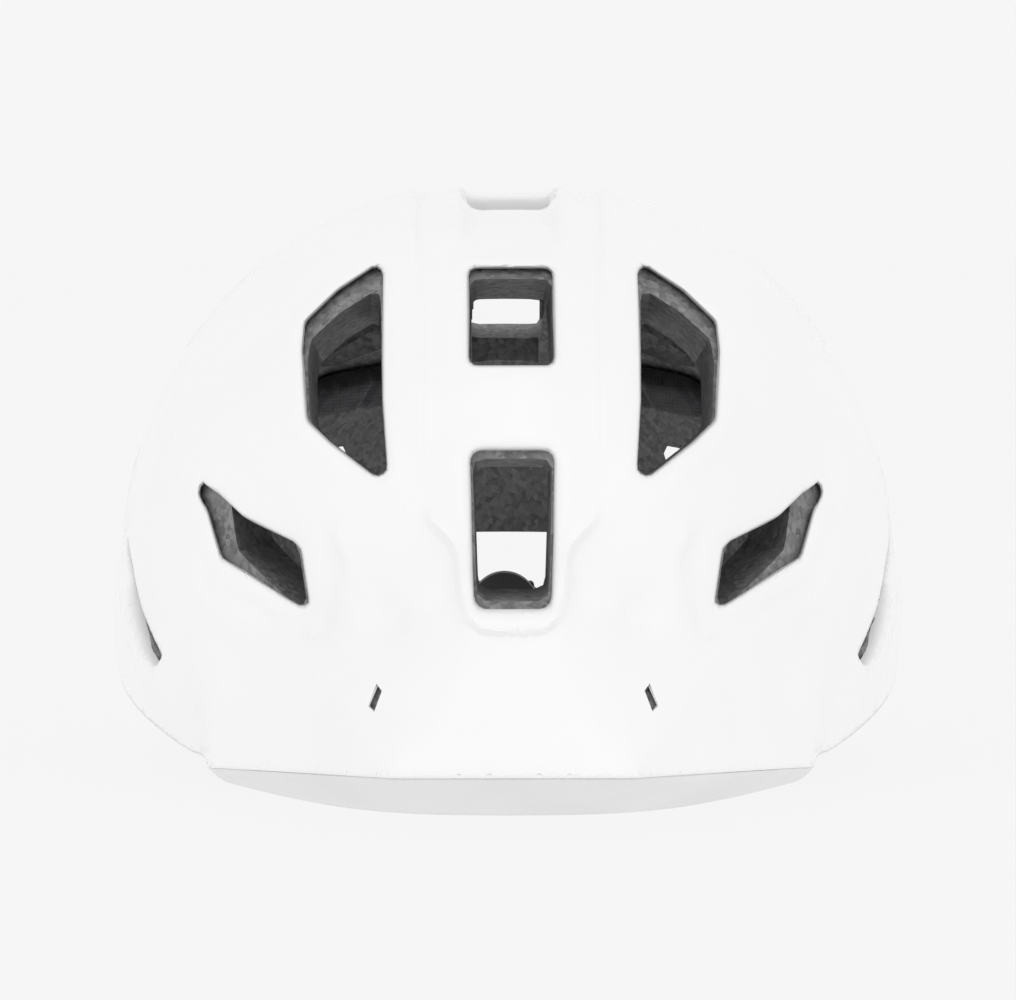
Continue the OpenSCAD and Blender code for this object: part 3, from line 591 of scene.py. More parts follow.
def build_skin():
    seam = to_map(SEAM)
    loops, lines, rings = [seam], [], []
    for vent in VENTS:
        loops.append(to_map(vent["rim"]))
        r = vent["lip"]
        for s in (0.08 * r, 0.3 * r, 0.62 * r, r, r + 1.6, r + 3.4):
            for row in side_rings(vent["rim"], (s, -s), True):
                row = row[~inside_of(to_map(row), loops[-1])]
                rings.append(row[:: 1 if s < r + 1 else 2])
    low = [p for p in BAND if p[1] < 72]
    band = [drop_on(evenly(low + [(-x, y) for x, y in low[::-1]], 1.6, False), HUB, 0, TILT)]
    over = []
    for k in (1, -1):
        over.append(along_crown(BAND_HALF * k, np.linspace(-70, 112, 90)))
    dish = [drop_on(evenly(DISH[1:9], 1.8, False) * [k, 1], HUB, 0, TILT) for k in (1, -1)]
    front_edge = drop_on(evenly(FLARE[:8], 1.8, False) * [1, 1] + [0, -CENTRE[2]], CENTRE * [1, 0, 1], 90, 0)
    held = dish[:]
    for path in band + over + dish + [front_edge, mirrored(front_edge)]:
        rings += side_rings(path, (-1.7, -0.8, 0, 0.8, 1.7), False)
    for k in (1, -1):
        for x in (10.2, 11.4, 12.6, 14.2):
            rings.append(along_crown(k * x, np.linspace(-88, 80, 90)))
        rings += side_rings(RIB * [k, 1, 1], (-4, -2, 0, 2, 4), False)
        for a, b in ((FOLD_LOW, FOLD_TOP), (FOLD_LOW, SPLIT), (CORNER, RIDGE_TOP)):
            t = np.linspace(0, 1, 34)[:, None]
            crease = on_shell((np.array(a) * (1 - t) + np.array(b) * t - CENTRE) * [k, 1, 1])
            held.append(crease)
            rings += side_rings(crease, (-3.4, -2, -1, 0, 1, 2, 3.4), False)
    rings += side_rings(SEAM, (-2.6, -1.4, -0.6, -0.25), True) + side_rings(SEAM, (2.6, 1.4, 0.6, 0.25), True)
    az = np.linspace(-42, 42, 170) % 360
    brim_edge = on_shell(aim(az, edge_el(az)))
    rings += side_rings(brim_edge, (-5, -3.4, -2.2, -1.4, -0.7, 0.7, 1.4, 2.2), False)
    ring_pts = np.vstack([to_map(r) for r in rings])
    coarse = hex_grid(116, 2.1)
    fine = hex_grid(116, 1.5)
    az = np.degrees(np.arctan2(fine[:, 0], -fine[:, 1]))
    fine = fine[(np.abs(az) < 62) & (np.linalg.norm(fine, axis=1) > 74)]
    caz = np.degrees(np.arctan2(coarse[:, 0], -coarse[:, 1]))
    coarse = coarse[~((np.abs(caz) < 62) & (np.linalg.norm(coarse, axis=1) > 74))]
    loose = np.vstack([coarse, fine])
    loose = loose[nearest(loose, ring_pts) > 0.75]
    ring_pts = thinned(ring_pts, 0.3)
    keep = np.vstack([ring_pts, loose])
    keep = keep[nearest(keep, np.vstack(loops)) > 0.06]
    flat, tris = mesh_map(loops, lines, keep)
    mid = flat[tris].mean(1)
    live = inside_of(mid, seam)
    for loop in loops[1:]:
        live &= ~inside_of(mid, loop)
    tris = tris[live]
    used = np.unique(tris)
    index = np.full(len(flat), -1)
    index[used] = np.arange(len(used))
    tris = index[tris]
    d = from_map(flat[used])
    base = on_shell(d)
    lengths = [np.linalg.norm(base[tris[:, i]] - base[tris[:, (i + 1) % 3]], axis=1) for i in range(3)]
    tris = tris[np.max(lengths, axis=0) < LONG_EDGE]
    seam_gap = distance_to(base, SEAM)
    height = relief(base) - 0.4 * (1 - ramp(seam_gap, 0, 0.8))
    verts = eased(base + d * height[:, None], tris, base, seam_gap, np.vstack(held)) + lips(base, d)
    a, b, c = verts[tris[:, 0]], verts[tris[:, 1]], verts[tris[:, 2]]
    if (np.cross(b - a, c - a) * (a - CENTRE)).sum() < 0:
        tris = tris[:, ::-1]
    return verts, tris, d


def eased(verts, tris, base, seam_gap, held):
    """Relaxes the skin away from its edges, the way a smoothing brush would."""
    free = ramp(seam_gap, 0.8, 4)
    side = np.abs(front_view(base)[:, 0])
    over = np.abs(np.abs(base[:, 0]) - BAND_HALF)
    line = np.where(base[:, 1] < 0, np.abs(signed(front_view(base), BAND_LOOP)), over)
    free = np.minimum(free, 0.08 + 0.92 * ramp(line, 0.8, 3.5))
    tree = tree_of(held)
    free = np.minimum(free, 0.12 + 0.88 * ramp(np.array([tree.find(tuple(p))[2] for p in base]), 1.0, 5))
    free = np.minimum(free, 0.12 + 0.88 * ramp(np.abs(side - 12.6), 1.5, 4) + (base[:, 1] < -60))
    for vent in VENTS:
        free = np.minimum(free, ramp(distance_to(base, vent["rim"]), 0.5, 4))
    a = np.concatenate([tris[:, 0], tris[:, 1], tris[:, 2], tris[:, 1], tris[:, 2], tris[:, 0]])
    b = np.concatenate([tris[:, 1], tris[:, 2], tris[:, 0], tris[:, 0], tris[:, 1], tris[:, 2]])
    count = np.bincount(a, minlength=len(verts))[:, None]
    for _ in range(14):
        total = np.stack([np.bincount(a, verts[b, k], len(verts)) for k in range(3)], -1)
        verts = verts + (total / count - verts) * 0.6 * free[:, None]
    return verts


def nearest(points, others):
    """Distance from each flat point to the nearest of the others."""
    tree = tree_of(others)
    return np.array([tree.find((x, y, 0))[2] for x, y in points])


def thinned(points, gap):
    """Points no closer to each other than about the gap."""
    key = np.round(points / gap).astype(int)
    _, first = np.unique(key, axis=0, return_index=True)
    return points[np.sort(first)]


def vent_skirts(verts, tris, d, depth, lean):
    """Rows of faces that line each vent's mouth, turned in from the lip's edge."""
    edges = {}
    for t in tris:
        for i in range(3):
            edges[(t[i], t[(i + 1) % 3])] = True
    border = {a: b for a, b in edges if (b, a) not in edges}
    verts, faces = list(verts), [tuple(t) for t in tris]
    todo = set(border)
    while todo:
        loop = [todo.pop()]
        while border[loop[-1]] != loop[0] and len(loop) < 5000:
            loop.append(border[loop[-1]])
            todo.discard(loop[-1])
        pts = np.array([verts[i] for i in loop])
        outer = distance_to(pts[:1], SEAM)[0] < 3
        middle = pts.mean(0)
        vent = min(VENTS, key=lambda v: np.linalg.norm(v["rim"].mean(0) - middle))
        rows = [loop]
        for share in (0.5, 1.0):
            inward = -vent_axis(vent) * depth * share + unit(middle - pts) * lean * share
            new = pts + (-d[loop] * 0.5 * depth * share if outer else inward)
            rows.append(list(range(len(verts), len(verts) + len(loop))))
            verts += list(new)
        for lo, hi in zip(rows, rows[1:]):
            n = len(lo)
            short = [np.linalg.norm(verts[lo[(i + 1) % n]] - verts[lo[i]]) < LONG_SKIRT for i in range(n)]
            faces += [(lo[(i + 1) % n], lo[i], hi[i], hi[(i + 1) % n]) for i in range(n) if short[i]]
    return np.array(verts), faces


# ---------------------------------------------------------------- finishes
def finish(name, color, rough, metallic=0.0):
    mat = bpy.data.materials.new(name)
    mat.use_nodes = True
    nodes, links = mat.node_tree.nodes, mat.node_tree.links
    bsdf = nodes["Principled BSDF"]
    bsdf.inputs["Base Color"].default_value = (*color, 1)
    bsdf.inputs["Roughness"].default_value = rough
    bsdf.inputs["Metallic"].default_value = metallic
    place = nodes.new("ShaderNodeTexCoord")
    return mat, nodes, links, bsdf, place


def add_noise(nodes, links, source, scale, detail=3.0):
    n = nodes.new("ShaderNodeTexNoise")
    n.inputs["Scale"].default_value = scale
    n.inputs["Detail"].default_value = detail
    links.new(source, n.inputs["Vector"])
    return n.outputs["Fac"]


def add_bump(nodes, links, bsdf, height, strength, distance, under=None):
    b = nodes.new("ShaderNodeBump")
    b.inputs["Strength"].default_value = strength
    b.inputs["Distance"].default_value = distance
    links.new(height, b.inputs["Height"])
    if under is not None:
        links.new(under, b.inputs["Normal"])
    links.new(b.outputs["Normal"], bsdf.inputs["Normal"])
    return b.outputs["Normal"]


def spread_color(nodes, links, bsdf, value, low, high, lo=0.3, hi=0.7):
    r = nodes.new("ShaderNodeValToRGB")
    r.color_ramp.elements[0].position, r.color_ramp.elements[0].color = lo, (*low, 1)
    r.color_ramp.elements[1].position, r.color_ramp.elements[1].color = hi, (*high, 1)
    links.new(value, r.inputs["Fac"])
    links.new(r.outputs["Color"], bsdf.inputs["Base Color"])
    return r


def spread_rough(nodes, links, bsdf, value, low, high):
    m = nodes.new("ShaderNodeMapRange")
    m.inputs["To Min"].default_value, m.inputs["To Max"].default_value = low, high
    links.new(value, m.inputs["Value"])
    links.new(m.outputs["Result"], bsdf.inputs["Roughness"])


def gloss_white():
    mat, nodes, links, bsdf, place = finish("gloss_white_polycarbonate", (0.93, 0.93, 0.93), 0.24)
    spot = place.outputs["Object"]
    cloud = add_noise(nodes, links, spot, 18, 4)
    spread_color(nodes, links, bsdf, cloud, (0.915, 0.915, 0.917), (0.94, 0.94, 0.94))
    spread_rough(nodes, links, bsdf, add_noise(nodes, links, spot, 90, 5), 0.2, 0.3)
    add_bump(nodes, links, bsdf, add_noise(nodes, links, spot, 320, 2), 0.06, 0.0002)
    bsdf.inputs["Coat Weight"].default_value = 0.25
    bsdf.inputs["Coat Roughness"].default_value = 0.12
    return mat


def satin_pale():
    mat, nodes, links, bsdf, place = finish("satin_pale_rim", (0.8, 0.8, 0.8), 0.42)
    spot = place.outputs["Object"]
    spread_color(nodes, links, bsdf, add_noise(nodes, links, spot, 40, 4),
                 (0.77, 0.77, 0.775), (0.82, 0.82, 0.82))
    spread_rough(nodes, links, bsdf, add_noise(nodes, links, spot, 150, 4), 0.36, 0.5)
    add_bump(nodes, links, bsdf, add_noise(nodes, links, spot, 1400, 2), 0.15, 0.00015)
    return mat


def bead_foam():
    mat, nodes, links, bsdf, place = finish("fused_bead_foam", (0.08, 0.08, 0.082), 0.7)
    spot = place.outputs["Object"]
    beads = nodes.new("ShaderNodeTexVoronoi")
    beads.feature = "F1"
    beads.inputs["Scale"].default_value = 620
    links.new(spot, beads.inputs["Vector"])
    rims = nodes.new("ShaderNodeTexVoronoi")
    rims.feature = "DISTANCE_TO_EDGE"
    rims.inputs["Scale"].default_value = 620
    links.new(spot, rims.inputs["Vector"])
    mottled = nodes.new("ShaderNodeMix")
    mottled.data_type = "FLOAT"
    mottled.inputs["Factor"].default_value = 0.45
    links.new(beads.outputs["Color"], mottled.inputs["A"])
    links.new(add_noise(nodes, links, spot, 900, 4), mottled.inputs["B"])
    spread_color(nodes, links, bsdf, mottled.outputs["Result"],
                 (0.11, 0.11, 0.113), (0.27, 0.27, 0.274), 0.25, 0.75)
    spread_rough(nodes, links, bsdf, beads.outputs["Distance"], 0.5, 0.8)
    add_bump(nodes, links, bsdf, rims.outputs["Distance"], 0.4, 0.0004)
    return mat


def moulded(name, color, rough, grain=1600, strength=0.2):
    mat, nodes, links, bsdf, place = finish(name, color, rough)
    spot = place.outputs["Object"]
    light = tuple(min(1, c * 1.3 + 0.006) for c in color)
    spread_color(nodes, links, bsdf, add_noise(nodes, links, spot, 120, 5), color, light)
    spread_rough(nodes, links, bsdf, add_noise(nodes, links, spot, 400, 3), rough - 0.06, rough + 0.1)
    add_bump(nodes, links, bsdf, add_noise(nodes, links, spot, grain, 2), strength, 0.00012)
    return mat


def turned_steel():
    mat, nodes, links, bsdf, place = finish("turned_steel", (0.56, 0.56, 0.57), 0.3, 1.0)
    spread_rough(nodes, links, bsdf, add_noise(nodes, links, place.outputs["Object"], 900, 4), 0.22, 0.42)
    return mat


def woven(name, color, ribs, picks):
    """Webbing: ribs across its width and picks along it, from the strap's own map."""
    mat, nodes, links, bsdf, place = finish(name, color, 0.85)
    rows = []
    for direction, count in (("X", ribs), ("Y", picks)):
        w = nodes.new("ShaderNodeTexWave")
        w.wave_type, w.bands_direction = "BANDS", direction
        w.inputs["Scale"].default_value = count
        w.inputs["Distortion"].default_value = 0.25
        links.new(place.outputs["UV"], w.inputs["Vector"])
        rows.append(w.outputs["Fac"])
    both = nodes.new("ShaderNodeMath")
    both.operation = "MULTIPLY"
    links.new(rows[0], both.inputs[0])
    links.new(rows[1], both.inputs[1])
    high = tuple(c * 2.6 + 0.01 for c in color)
    spread_color(nodes, links, bsdf, both.outputs[0], color, high, 0.05, 0.9)
    add_bump(nodes, links, bsdf, both.outputs[0], 0.7, 0.0004)
    bsdf.inputs["Sheen Weight"].default_value = 0.3
    bsdf.inputs["Sheen Roughness"].default_value = 0.5
    return mat


def knit():
    mat, nodes, links, bsdf, place = finish("brushed_knit", (0.045, 0.045, 0.05), 0.9)
    spot = place.outputs["Object"]
    loops = nodes.new("ShaderNodeTexVoronoi")
    loops.inputs["Scale"].default_value = 950
    loops.inputs["Randomness"].default_value = 0.35
    links.new(spot, loops.inputs["Vector"])
    fluff = add_noise(nodes, links, spot, 260, 6)
    spread_color(nodes, links, bsdf, fluff, (0.03, 0.03, 0.034), (0.085, 0.085, 0.092))
    add_bump(nodes, links, bsdf, loops.outputs["Distance"], 0.6, 0.0004)
    bsdf.inputs["Sheen Weight"].default_value = 0.5
    bsdf.inputs["Sheen Roughness"].default_value = 0.4
    return mat


SHELL, RIM_FINISH, FOAM, KNIT = gloss_white(), satin_pale(), bead_foam(), knit()
BAND_FINISH = moulded("satin_nylon_band", (0.03, 0.03, 0.032), 0.42)
FITTING = moulded("grained_fitting", (0.035, 0.035, 0.038), 0.5, 1100, 0.3)
GRIP = moulded("soft_touch_rubber", (0.05, 0.05, 0.052), 0.72, 2200, 0.35)
GEAR = moulded("natural_acetal", (0.62, 0.62, 0.57), 0.4)
BUCKLE = moulded("satin_acetal", (0.03, 0.03, 0.032), 0.36)
LEVER = moulded("lever_acetal", (0.12, 0.12, 0.125), 0.4)
STEEL = turned_steel()
WEB = woven("woven_webbing", (0.018, 0.018, 0.02), 5.5, 90)
NODE_FINISH = {
    "temple_pins": FITTING, "fit_ring": BAND_FINISH, "dial_housing": FITTING, "housing_cover": FITTING,
    "housing_screws": STEEL, "dial_knob": FITTING, "dial_grip": GRIP, "pinion": GEAR,
    "left_tail": BAND_FINISH,
    "right_tail": BAND_FINISH, "strap_anchors": FITTING, "left_divider": BUCKLE, "right_divider": BUCKLE,
    "left_cam": LEVER, "right_cam": LEVER, "strap_keeper": BUCKLE, "buckle_socket": BUCKLE,
    "buckle_plug": BUCKLE,
    "front_prong": BUCKLE, "rear_prong": BUCKLE}
for node_name, node_finish in NODE_FINISH.items():
    node = frame["nodes"][node_name]
    node.data.materials.clear()
    node.data.materials.append(node_finish)

# ---------------------------------------------------------------- the upper shell
verts, tris, dirs = build_skin()
skin_verts, skin_faces = vent_skirts(verts, tris, dirs, 2.4, 0.35)
skin = new_piece("upper_skin", skin_verts, skin_faces, None, None, 0, SHELL)
wall = skin.modifiers.new("wall", "SOLIDIFY")
wall.thickness, wall.offset = 1.0 * MM, -1
apply_modifiers(skin)
smooth_piece(skin, 42)
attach(skin, "helmet")
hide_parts("upper_shell")


# ---------------------------------------------------------------- the rim's wrap and the brim's underside
def build_rim_wrap():
    az_s, el_s = angles(SEAM - CENTRE)
    az_r, el_r = angles(RIM - CENTRE)
    n = len(SEAM)
    az_s = np.where((az_s > 350) & (np.arange(n) < n // 4), az_s - 360, az_s)
    az_r = np.where((az_r > 350) & (np.arange(n) < n // 4), az_r - 360, az_r)
    rows = []
    corner = 1.8
    for t in (0, 0.02, 0.06, 0.14, 0.3, 0.5, 0.7, 0.86, 0.95, 1.0):
        az, el = az_s * (1 - t) + az_r * t, el_s * (1 - t) + el_r * t
        d = aim(az, el)
        p = on_shell(d)
        gap = np.linalg.norm(p - RIM, axis=1)
        roll = corner * (1 - np.sqrt(np.clip(1 - np.clip(1 - gap / corner, 0, 1) ** 2, 0, 1)))
        seam_gap = np.linalg.norm(p - SEAM, axis=1)
        edge = 0.7 * (1 - np.sqrt(np.clip(1 - np.clip(1 - seam_gap / 0.7, 0, 1) ** 2, 0, 1)))
        lift = relief(p)
        rows.append(p + d * (lift - roll - edge - 0.15)[:, None])
    d = unit(RIM - CENTRE)
    inner = CENTRE + (head(d, 13.2) * 1.0)[:, None] * d
    level = np.stack([d[:, 0], d[:, 1], 0 * d[:, 0]], -1)
    reach = np.maximum(np.linalg.norm((RIM - inner)[:, :2], axis=1), 2.0)
    for t in (0.18, 0.5, 1.0):
        rows.append(RIM - unit(level) * (corner * 0.4 + reach * t)[:, None] + [0, 0, 0.25 * t])
    rows.append(rows[-1] + [0, 0, 2.5])
    pts = np.vstack(rows)
    faces = []
    for j in range(len(rows) - 1):
        for i in range(n):
            a, b = j * n + i, j * n + (i + 1) % n
            faces.append((a, b, b + n, a + n))
    mid = pts[faces[n * 3][0]] - CENTRE
    f = faces[n * 3]
    normal = np.cross(pts[f[1]] - pts[f[0]], pts[f[3]] - pts[f[0]])
    if normal @ mid < 0:
        faces = [g[::-1] for g in faces]
    return pts, faces


wrap = new_piece("rim_wrap", *build_rim_wrap(), None, None, 0, RIM_FINISH)
wall = wrap.modifiers.new("wall", "SOLIDIFY")
wall.thickness, wall.offset = 1.0 * MM, -1
apply_modifiers(wrap)
smooth_piece(wrap, 42)
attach(wrap, "helmet")
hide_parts("lower_shell")


# ---------------------------------------------------------------- the foam liner, cut as a tool would cut it
def lofted_rings(rings, top=None, bottom=None):
    n = len(rings[0])
    pts = [p for ring in rings for p in ring]
    faces = []
    for j in range(len(rings) - 1):
        for i in range(n):
            a, b = j * n + i, j * n + (i + 1) % n
            faces.append((a, b, b + n, a + n))
    last = (len(rings) - 1) * n
    if top is not None:
        pts += [top, bottom]
        faces += [((i + 1) % n, i, len(pts) - 2) for i in range(n)]
        faces += [(last + i, last + (i + 1) % n, len(pts) - 1) for i in range(n)]
    else:
        faces += [tuple(range(n - 1, -1, -1)), tuple(range(last, last + n))]
    return np.array(pts, float), faces


def tool(points, faces):
    """A closed cutter with its faces turned outwards."""
    mesh = bpy.data.meshes.new("tool")
    mesh.from_pydata([tuple(v) for v in np.asarray(points, float) * MM], [], faces)
    bm = bmesh.new()
    bm.from_mesh(mesh)
    bmesh.ops.recalc_face_normals(bm, faces=bm.faces)
    bm.to_mesh(mesh)
    bm.free()
    ob = bpy.data.objects.new("tool", mesh)
    bpy.context.scene.collection.objects.link(ob)
    return ob


def head_tool(grow):
    az = np.arange(0, 360, 4.0)
    rings = []
    for el in np.linspace(85, -40, 32):
        d = aim(az, 0 * az + el)
        rings.append(CENTRE + head(d, grow)[:, None] * d)
    return tool(*lofted_rings(rings, CENTRE + [0, 0, 74 + grow], [0, 5, -60]))


def prism(outline, axis, low, high):
    """A drawn outline pulled along X or Y."""
    out = []
    for at in (low, high):
        out.append([(at, a, b) if axis == "x" else (a, at, b) for a, b in outline])
    return tool(*lofted_rings(out))


def peg(x, y, z, r, length, axis):
    a = np.radians(np.arange(0, 360, 7.5))
    rings = []
    for at in (0, length):
        if axis == "x":
            rings.append(np.stack([x + at + 0 * a, y + r * np.cos(a), z + r * np.sin(a)], -1))
        else:
            rings.append(np.stack([x + r * np.cos(a), y + r * np.sin(a), z + at + 0 * a], -1))
    return tool(*lofted_rings(rings))


def tunnel(vent):
    across, up, out = axes_of(vent["az"], vent["el"])
    flat = vent["flat"][::2]
    lo, hi = flat.min(0), flat.max(0)
    mid = (lo + hi) / 2
    near = mid + vent["shift"] + (flat - mid) * vent["spread"]
    turn = vent["far"] - 20 if vent["shift"][0] == -16 else vent["far"]
    stops = [(vent["far"] + 25, flat), (turn, flat), (vent["near"], near)]
    rings = [vent["hub"] + q[:, :1] * across + q[:, 1:] * up + at * out for at, q in stops]
    if vent["flip"]:
        rings = [mirrored(r) for r in rings]
    return tool(*lofted_rings(rings))


def cut(ob, tools, how="DIFFERENCE"):
    box = bpy.data.collections.new("tools")
    bpy.context.scene.collection.children.link(box)
    for t in tools:
        bpy.context.scene.collection.objects.unlink(t)
        box.objects.link(t)
    m = ob.modifiers.new("cut", "BOOLEAN")
    m.operation, m.operand_type, m.solver, m.collection = how, "COLLECTION", "EXACT", box
    apply_modifiers(ob)
    for t in list(box.objects):
        bpy.data.objects.remove(t)
    bpy.data.collections.remove(box)


def build_liner():
    az = np.arange(0, 360, 3.0)
    edge = edge_el(az)
    inset = 3.2
    rings = []
    for t in np.linspace(0.03, 1, 44):
        d = aim(az, 90 * (1 - t) + edge * t)
        p = on_shell(d)
        rings.append(p + d * (relief(p) - inset)[:, None])
    level = aim(az, 0 * az)
    f = math.sqrt(1 - ((CENTRE[2] - CUT_Z) / 195) ** 2)
    low = np.array([0, 5, CUT_Z]) + level * (f * dome(level) - inset)[:, None]
    lift = (1 - ramp(np.where(az > 180, 360 - az, az), 30, 45))[:, None] * [0, 0, 2.0]
    for t in (0.25, 0.5, 0.75, 1.0):
        rings.append(rings[43] * (1 - t) + low * t + lift * (1 if t < 1 else 0))
    ob = tool(*lofted_rings(rings, CENTRE + [0, 0, 100 - inset], [0, 5, CUT_Z]))
    ob.name = "foam_liner"
    below = [(-190, -40), (-190, 1.3)] + [(y, z + 1.3) for y, z in zip(RIM_Y, RIM_Z)] + [(150, 1.3), (150, -40)]
    half = [(14.5, 49.3), (25.2, 40.8), (32.3, 22.6), (32.3, -20)]
    arch = [(-x, z) for x, z in half[::-1]] + half
    channel = head_tool(5.5)
    cut(channel, [prism([(-75, 60), (85, 60), (85, 150), (-75, 150)], "x", -9.5, 9.5)], "INTERSECT")
    tools = [prism(below, "x", -130, 130), prism(arch, "y", 80, 150), head_tool(0), channel,
             prism([(80, -5), (108.5, -5), (108.5, 44), (80, 44)], "x", -43, 43)]
    tools += [tunnel(v) for v in VENTS]
    for k in (1, -1):
        tools.append(peg(60 if k > 0 else -88, 8, 34, 8.1, 28, "x"))
        tools += [peg(k * x, y, -2, 4.6, 24.1, "z") for x, y in ((74, -50), (76, 58))]
    cut(ob, tools)
    return ob


liner = build_liner()
liner.data.materials.clear()
liner.data.materials.append(FOAM)
smooth_piece(liner, 28)
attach(liner, "helmet")
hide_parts("crown_liner", "base_liner")


# ---------------------------------------------------------------- pads and the forehead band
def wall_point(az, el, inset):
    d = aim(az, el)
    return CENTRE + (head(d) - inset)[..., None] * d


def pad(name, az_a, az_b, el_a, el_b, node, flip=False, thick=5.6, channels=2, n=44, m=20):
    """A sewn pad on the cavity wall: puffed between its seams, thin at its welted edge."""
    s, t = np.meshgrid(np.linspace(-1, 1, n), np.linspace(-1, 1, m), indexing="ij")
    squeeze = (1 - 0.10 * t ** 6, 1 - 0.16 * s ** 6)
    az = (az_a + az_b) / 2 + (az_b - az_a) / 2 * s * squeeze[0]
    el = (el_a + el_b) / 2 + (el_b - el_a) / 2 * t * squeeze[1]
    edge = (1 - np.abs(s) ** 5) * (1 - np.abs(t) ** 3.2)
    puff = np.clip(edge, 0, 1) ** 0.42
    for k in range(1, channels + 1):
        at = -1 + 2 * k / (channels + 1)
        puff = puff * (1 - 0.34 * np.exp(-((s - at) / 0.035) ** 2))
    welt = np.exp(-((np.maximum(np.abs(s) * 1.02, np.abs(t)) - 0.9) / 0.035) ** 2)
    rise = 0.5 + thick * puff - 0.7 * welt * (puff > 0.2)
    back = wall_point(az, el, 1.2 + 0 * s)
    front = wall_point(az, el, 1.2 + rise)
    pts = np.vstack([front.reshape(-1, 3), back.reshape(-1, 3)])
    half = n * m
    faces = []
    for i in range(n - 1):
        for j in range(m - 1):
            a = i * m + j
            faces.append((a, a + 1, a + m + 1, a + m))
            faces.append((half + a, half + a + m, half + a + m + 1, half + a + 1))
    rim = [i * m for i in range(n)] + [(n - 1) * m + j for j in range(1, m)]
    rim += [i * m + m - 1 for i in range(n - 2, -1, -1)] + [j for j in range(m - 2, 0, -1)]
    for a, b in zip(rim, rim[1:] + rim[:1]):
        faces.append((a, b, half + b, half + a))
    if flip:
        pts = mirrored(pts)
    ob = tool(pts, faces)
    ob.name = name
    ob.data.materials.append(KNIT)
    smooth_piece(ob, 60)
    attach(ob, "helmet")
    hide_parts(node)
    return ob


pad("brow_pad_sewn", -42, 42, -17, -3, "brow_pad", channels=4, n=96)
for side, flip in (("left", False), ("right", True)):
    pad(side + "_crown_pad_sewn", 50, 130, 56, 74, side + "_crown_pad", flip)
    pad(side + "_side_pad_sewn", 62, 116, 15, 29, side + "_side_pad", flip)
    pad(side + "_rear_pad_sewn", 130, 166, 23, 33, side + "_rear_pad", flip, channels=1)


def forehead_band():
    az = np.linspace(-56, 56, 90)
    rings = []
    for a in az:
        ring = []
        for u, v in ((-2.5, 0.9), (-2.5, 2.2), (-2.1, 2.4), (-0.7, 2.2), (0, 2.05),
                     (0.7, 2.2), (2.1, 2.4), (2.5, 2.2), (2.5, 0.9)):
            ring.append(wall_point(np.array(a), np.array(-21 + u), np.array(v)))
        rings.append(ring)
    ob = tool(*lofted_rings(rings))
    ob.name = "forehead_band"
    ob.data.materials.append(BAND_FINISH)
    smooth_piece(ob, 40)
    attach(ob, "helmet")
    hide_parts("front_band")


forehead_band()


# ---------------------------------------------------------------- webbing
def smooth_route(route, steps):
    pts = np.array([route[0]] + list(route) + [route[-1]], float)
    out = []
    for t in np.linspace(0, len(route) - 1, steps):
        i = min(int(t), len(route) - 2)
        u = t - i
        a, b, c, d = pts[i:i + 4]
        out.append(0.5 * (2 * b + (c - a) * u + (2 * a - 5 * b + 4 * c - d) * u * u
                          + (3 * b - a - 3 * c + d) * u ** 3))
    return np.array(out)


def strap(name, route, normal, width, low, high, steps, flip=False, span=(0, 1), crown=0.0):
    """Flat webbing along a route, with selvedges and its own map: across in x, along in y."""
    line = smooth_route(route, steps)
    line = line[int(span[0] * (steps - 1)):int(span[1] * (steps - 1)) + 1]
    ahead = unit(np.gradient(line, axis=0))
    side = unit(np.cross(np.asarray(normal, float), ahead))
    up = np.cross(ahead, side)
    run = np.concatenate([[0], np.cumsum(np.linalg.norm(np.diff(line, axis=0), axis=1))])
    across = [-1, -0.985, -0.9, -0.82, -0.6, -0.3, 0, 0.3, 0.6, 0.82, 0.9, 0.985, 1]
    rise = [0.55, 0.9, 1, 0.86, 1, 1, 1, 1, 1, 0.86, 1, 0.9, 0.55]
    mid, half = (low + high) / 2, (high - low) / 2
    section = [(a, mid + half * r + crown * (1 - a * a)) for a, r in zip(across, rise)]
    section += [(a, mid - half * r) for a, r in zip(across[::-1], rise[::-1])]
    rings = [[p + s * a * width / 2 + u * h for a, h in section] for p, s, u in zip(line, side, up)]
    pts, faces = lofted_rings(rings)
    if flip:
        pts = mirrored(pts)
    ob = tool(pts, faces)
    ob.name = name
    uv = ob.data.uv_layers.new(name="weave")
    k = len(section)
    for poly in ob.data.polygons:
        for li in poly.loop_indices:
            v = ob.data.loops[li].vertex_index
            uv.data[li].uv = ((section[v % k][0] + 1) / 2, run[v // k] * MM)
    return ob


def finish_strap(ob, node, body="helmet"):
    ob.data.materials.append(WEB)
    smooth_piece(ob, 50)
    if body:
        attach(ob, body)
    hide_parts(node)
    return ob


FRONT_ROUTE = [[74, -50, 13.8], [73, -46, 11], [70, -36, 10.5], [66, -24, 11], [62.5, -12, 12], [60, -2.2, 12]]
REAR_ROUTE = [[76, 58, 13.8], [74, 54, 11], [70, 46, 10.5], [65, 37, 11], [61.5, 29, 12], [60, 22.2, 12]]
CHIN_ROUTE = [[57.4, 10, 2.4], [52, 10, 2.4], [46, 10, 2.6], [41.5, 10, 3.4], [39, 10, 8], [38, 10, 15],
              [35.5, 10, 20], [32.5, 10, 18.5], [31, 10, 12], [30, 10, 7.6], [26.7, 10, 6]]
for side, flip in (("left", False), ("right", True)):
    for where, route, count in (("front", FRONT_ROUTE, 60), ("rear", REAR_ROUTE, 50)):
        web = strap(f"{side}_{where}_webbing", route, (-1, 0, 0), WEB_WIDTH, -WEB_HALF, WEB_HALF, count, flip)
        finish_strap(web, f"{side}_{where}_strap")
chin_web = strap("left_chin_webbing", CHIN_ROUTE, (0, 0, 1), WEB_WIDTH, -WEB_HALF, WEB_HALF, 120)
finish_strap(chin_web, "left_chin_strap")
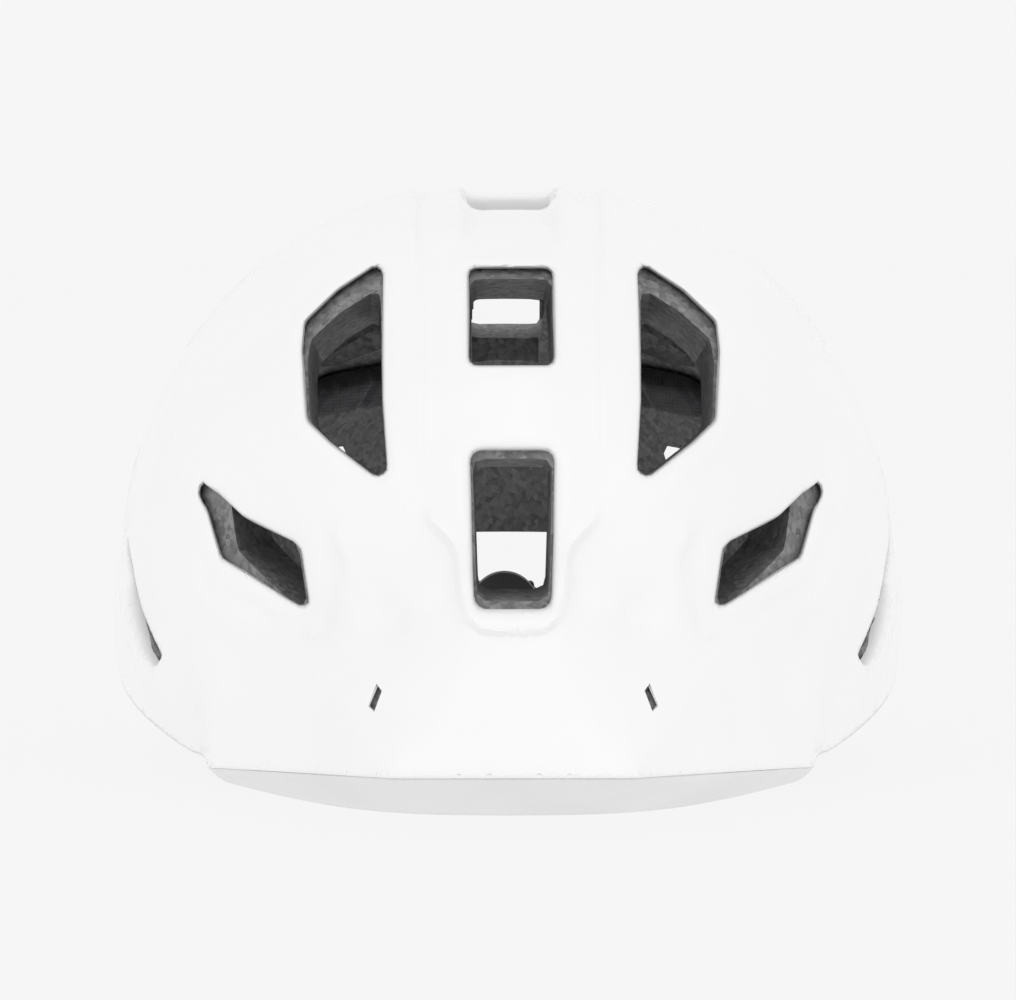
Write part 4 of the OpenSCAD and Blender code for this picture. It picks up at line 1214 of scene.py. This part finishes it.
loose_side = strap("right_chin_webbing", CHIN_ROUTE, (0, 0, 1), WEB_WIDTH, -WEB_HALF, WEB_HALF, 120, True)
finish_strap(loose_side, "right_chin_strap", None)
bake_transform(loose_side)
chin = strap("chin_pad_sewn", CHIN_ROUTE, (0, 0, 1), 21, 0.95, 2.8, 120, span=(0.42, 0.76), crown=0.9)
chin.data.materials.append(KNIT)
smooth_piece(chin, 60)
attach(chin, "helmet")
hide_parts("chin_pad")

# ---------------------------------------------------------------- floor, light and camera
target = np.array([0.0, 0.0, 0.0683])
e, yaw = math.radians(5.0), math.radians(-0.55)
eye = target + 1.6 * np.array([math.sin(yaw) * math.cos(e), -math.cos(yaw) * math.cos(e), math.sin(e)])
cam_data = bpy.data.cameras.new("camera")
cam_data.lens, cam_data.sensor_width = 207.7, 36
cam_data.clip_start, cam_data.clip_end = 0.05, 30
camera = bpy.data.objects.new("camera", cam_data)
bpy.context.scene.collection.objects.link(camera)
camera.location = eye
camera.rotation_euler = (Vector(target) - Vector(eye)).to_track_quat("-Z", "Y").to_euler()
bpy.context.scene.camera = camera

bpy.ops.mesh.primitive_plane_add(size=6, location=(0, 0, -0.0022))
floor = bpy.context.object
floor.name = "floor"
floor_mat = bpy.data.materials.new("pale_floor")
floor_mat.use_nodes = True
floor_bsdf = floor_mat.node_tree.nodes["Principled BSDF"]
floor_bsdf.inputs["Base Color"].default_value = (0.03, 0.03, 0.03, 1)
floor_bsdf.inputs["Roughness"].default_value = 0.9
floor_bsdf.inputs["Specular IOR Level"].default_value = 0
floor_bsdf.inputs["Emission Color"].default_value = (0.89, 0.89, 0.89, 1)
floor_bsdf.inputs["Emission Strength"].default_value = 1
floor.data.materials.append(floor_mat)

world = bpy.data.worlds.new("studio")
bpy.context.scene.world = world
world.use_nodes = True
world.node_tree.nodes["Background"].inputs["Color"].default_value = (0.92, 0.92, 0.92, 1)
bpy.context.scene.view_settings.view_transform = "Standard"


def area_light(name, place, look, size, power):
    data = bpy.data.lights.new(name, "AREA")
    data.shape, data.size, data.energy = "DISK", size, power
    ob = bpy.data.objects.new(name, data)
    bpy.context.scene.collection.objects.link(ob)
    ob.location = place
    ob.rotation_euler = (Vector(look) - Vector(place)).to_track_quat("-Z", "Y").to_euler()
    return ob


area_light("key", (0, -1.2, 1.9), (0, 0, 0.07), 1.1, 1.0)
area_light("left_fill", (-1.3, -1.2, 0.7), (0, 0, 0.07), 1.6, 2.1)
area_light("right_fill", (1.3, -1.2, 0.7), (0, 0, 0.07), 1.6, 2.1)
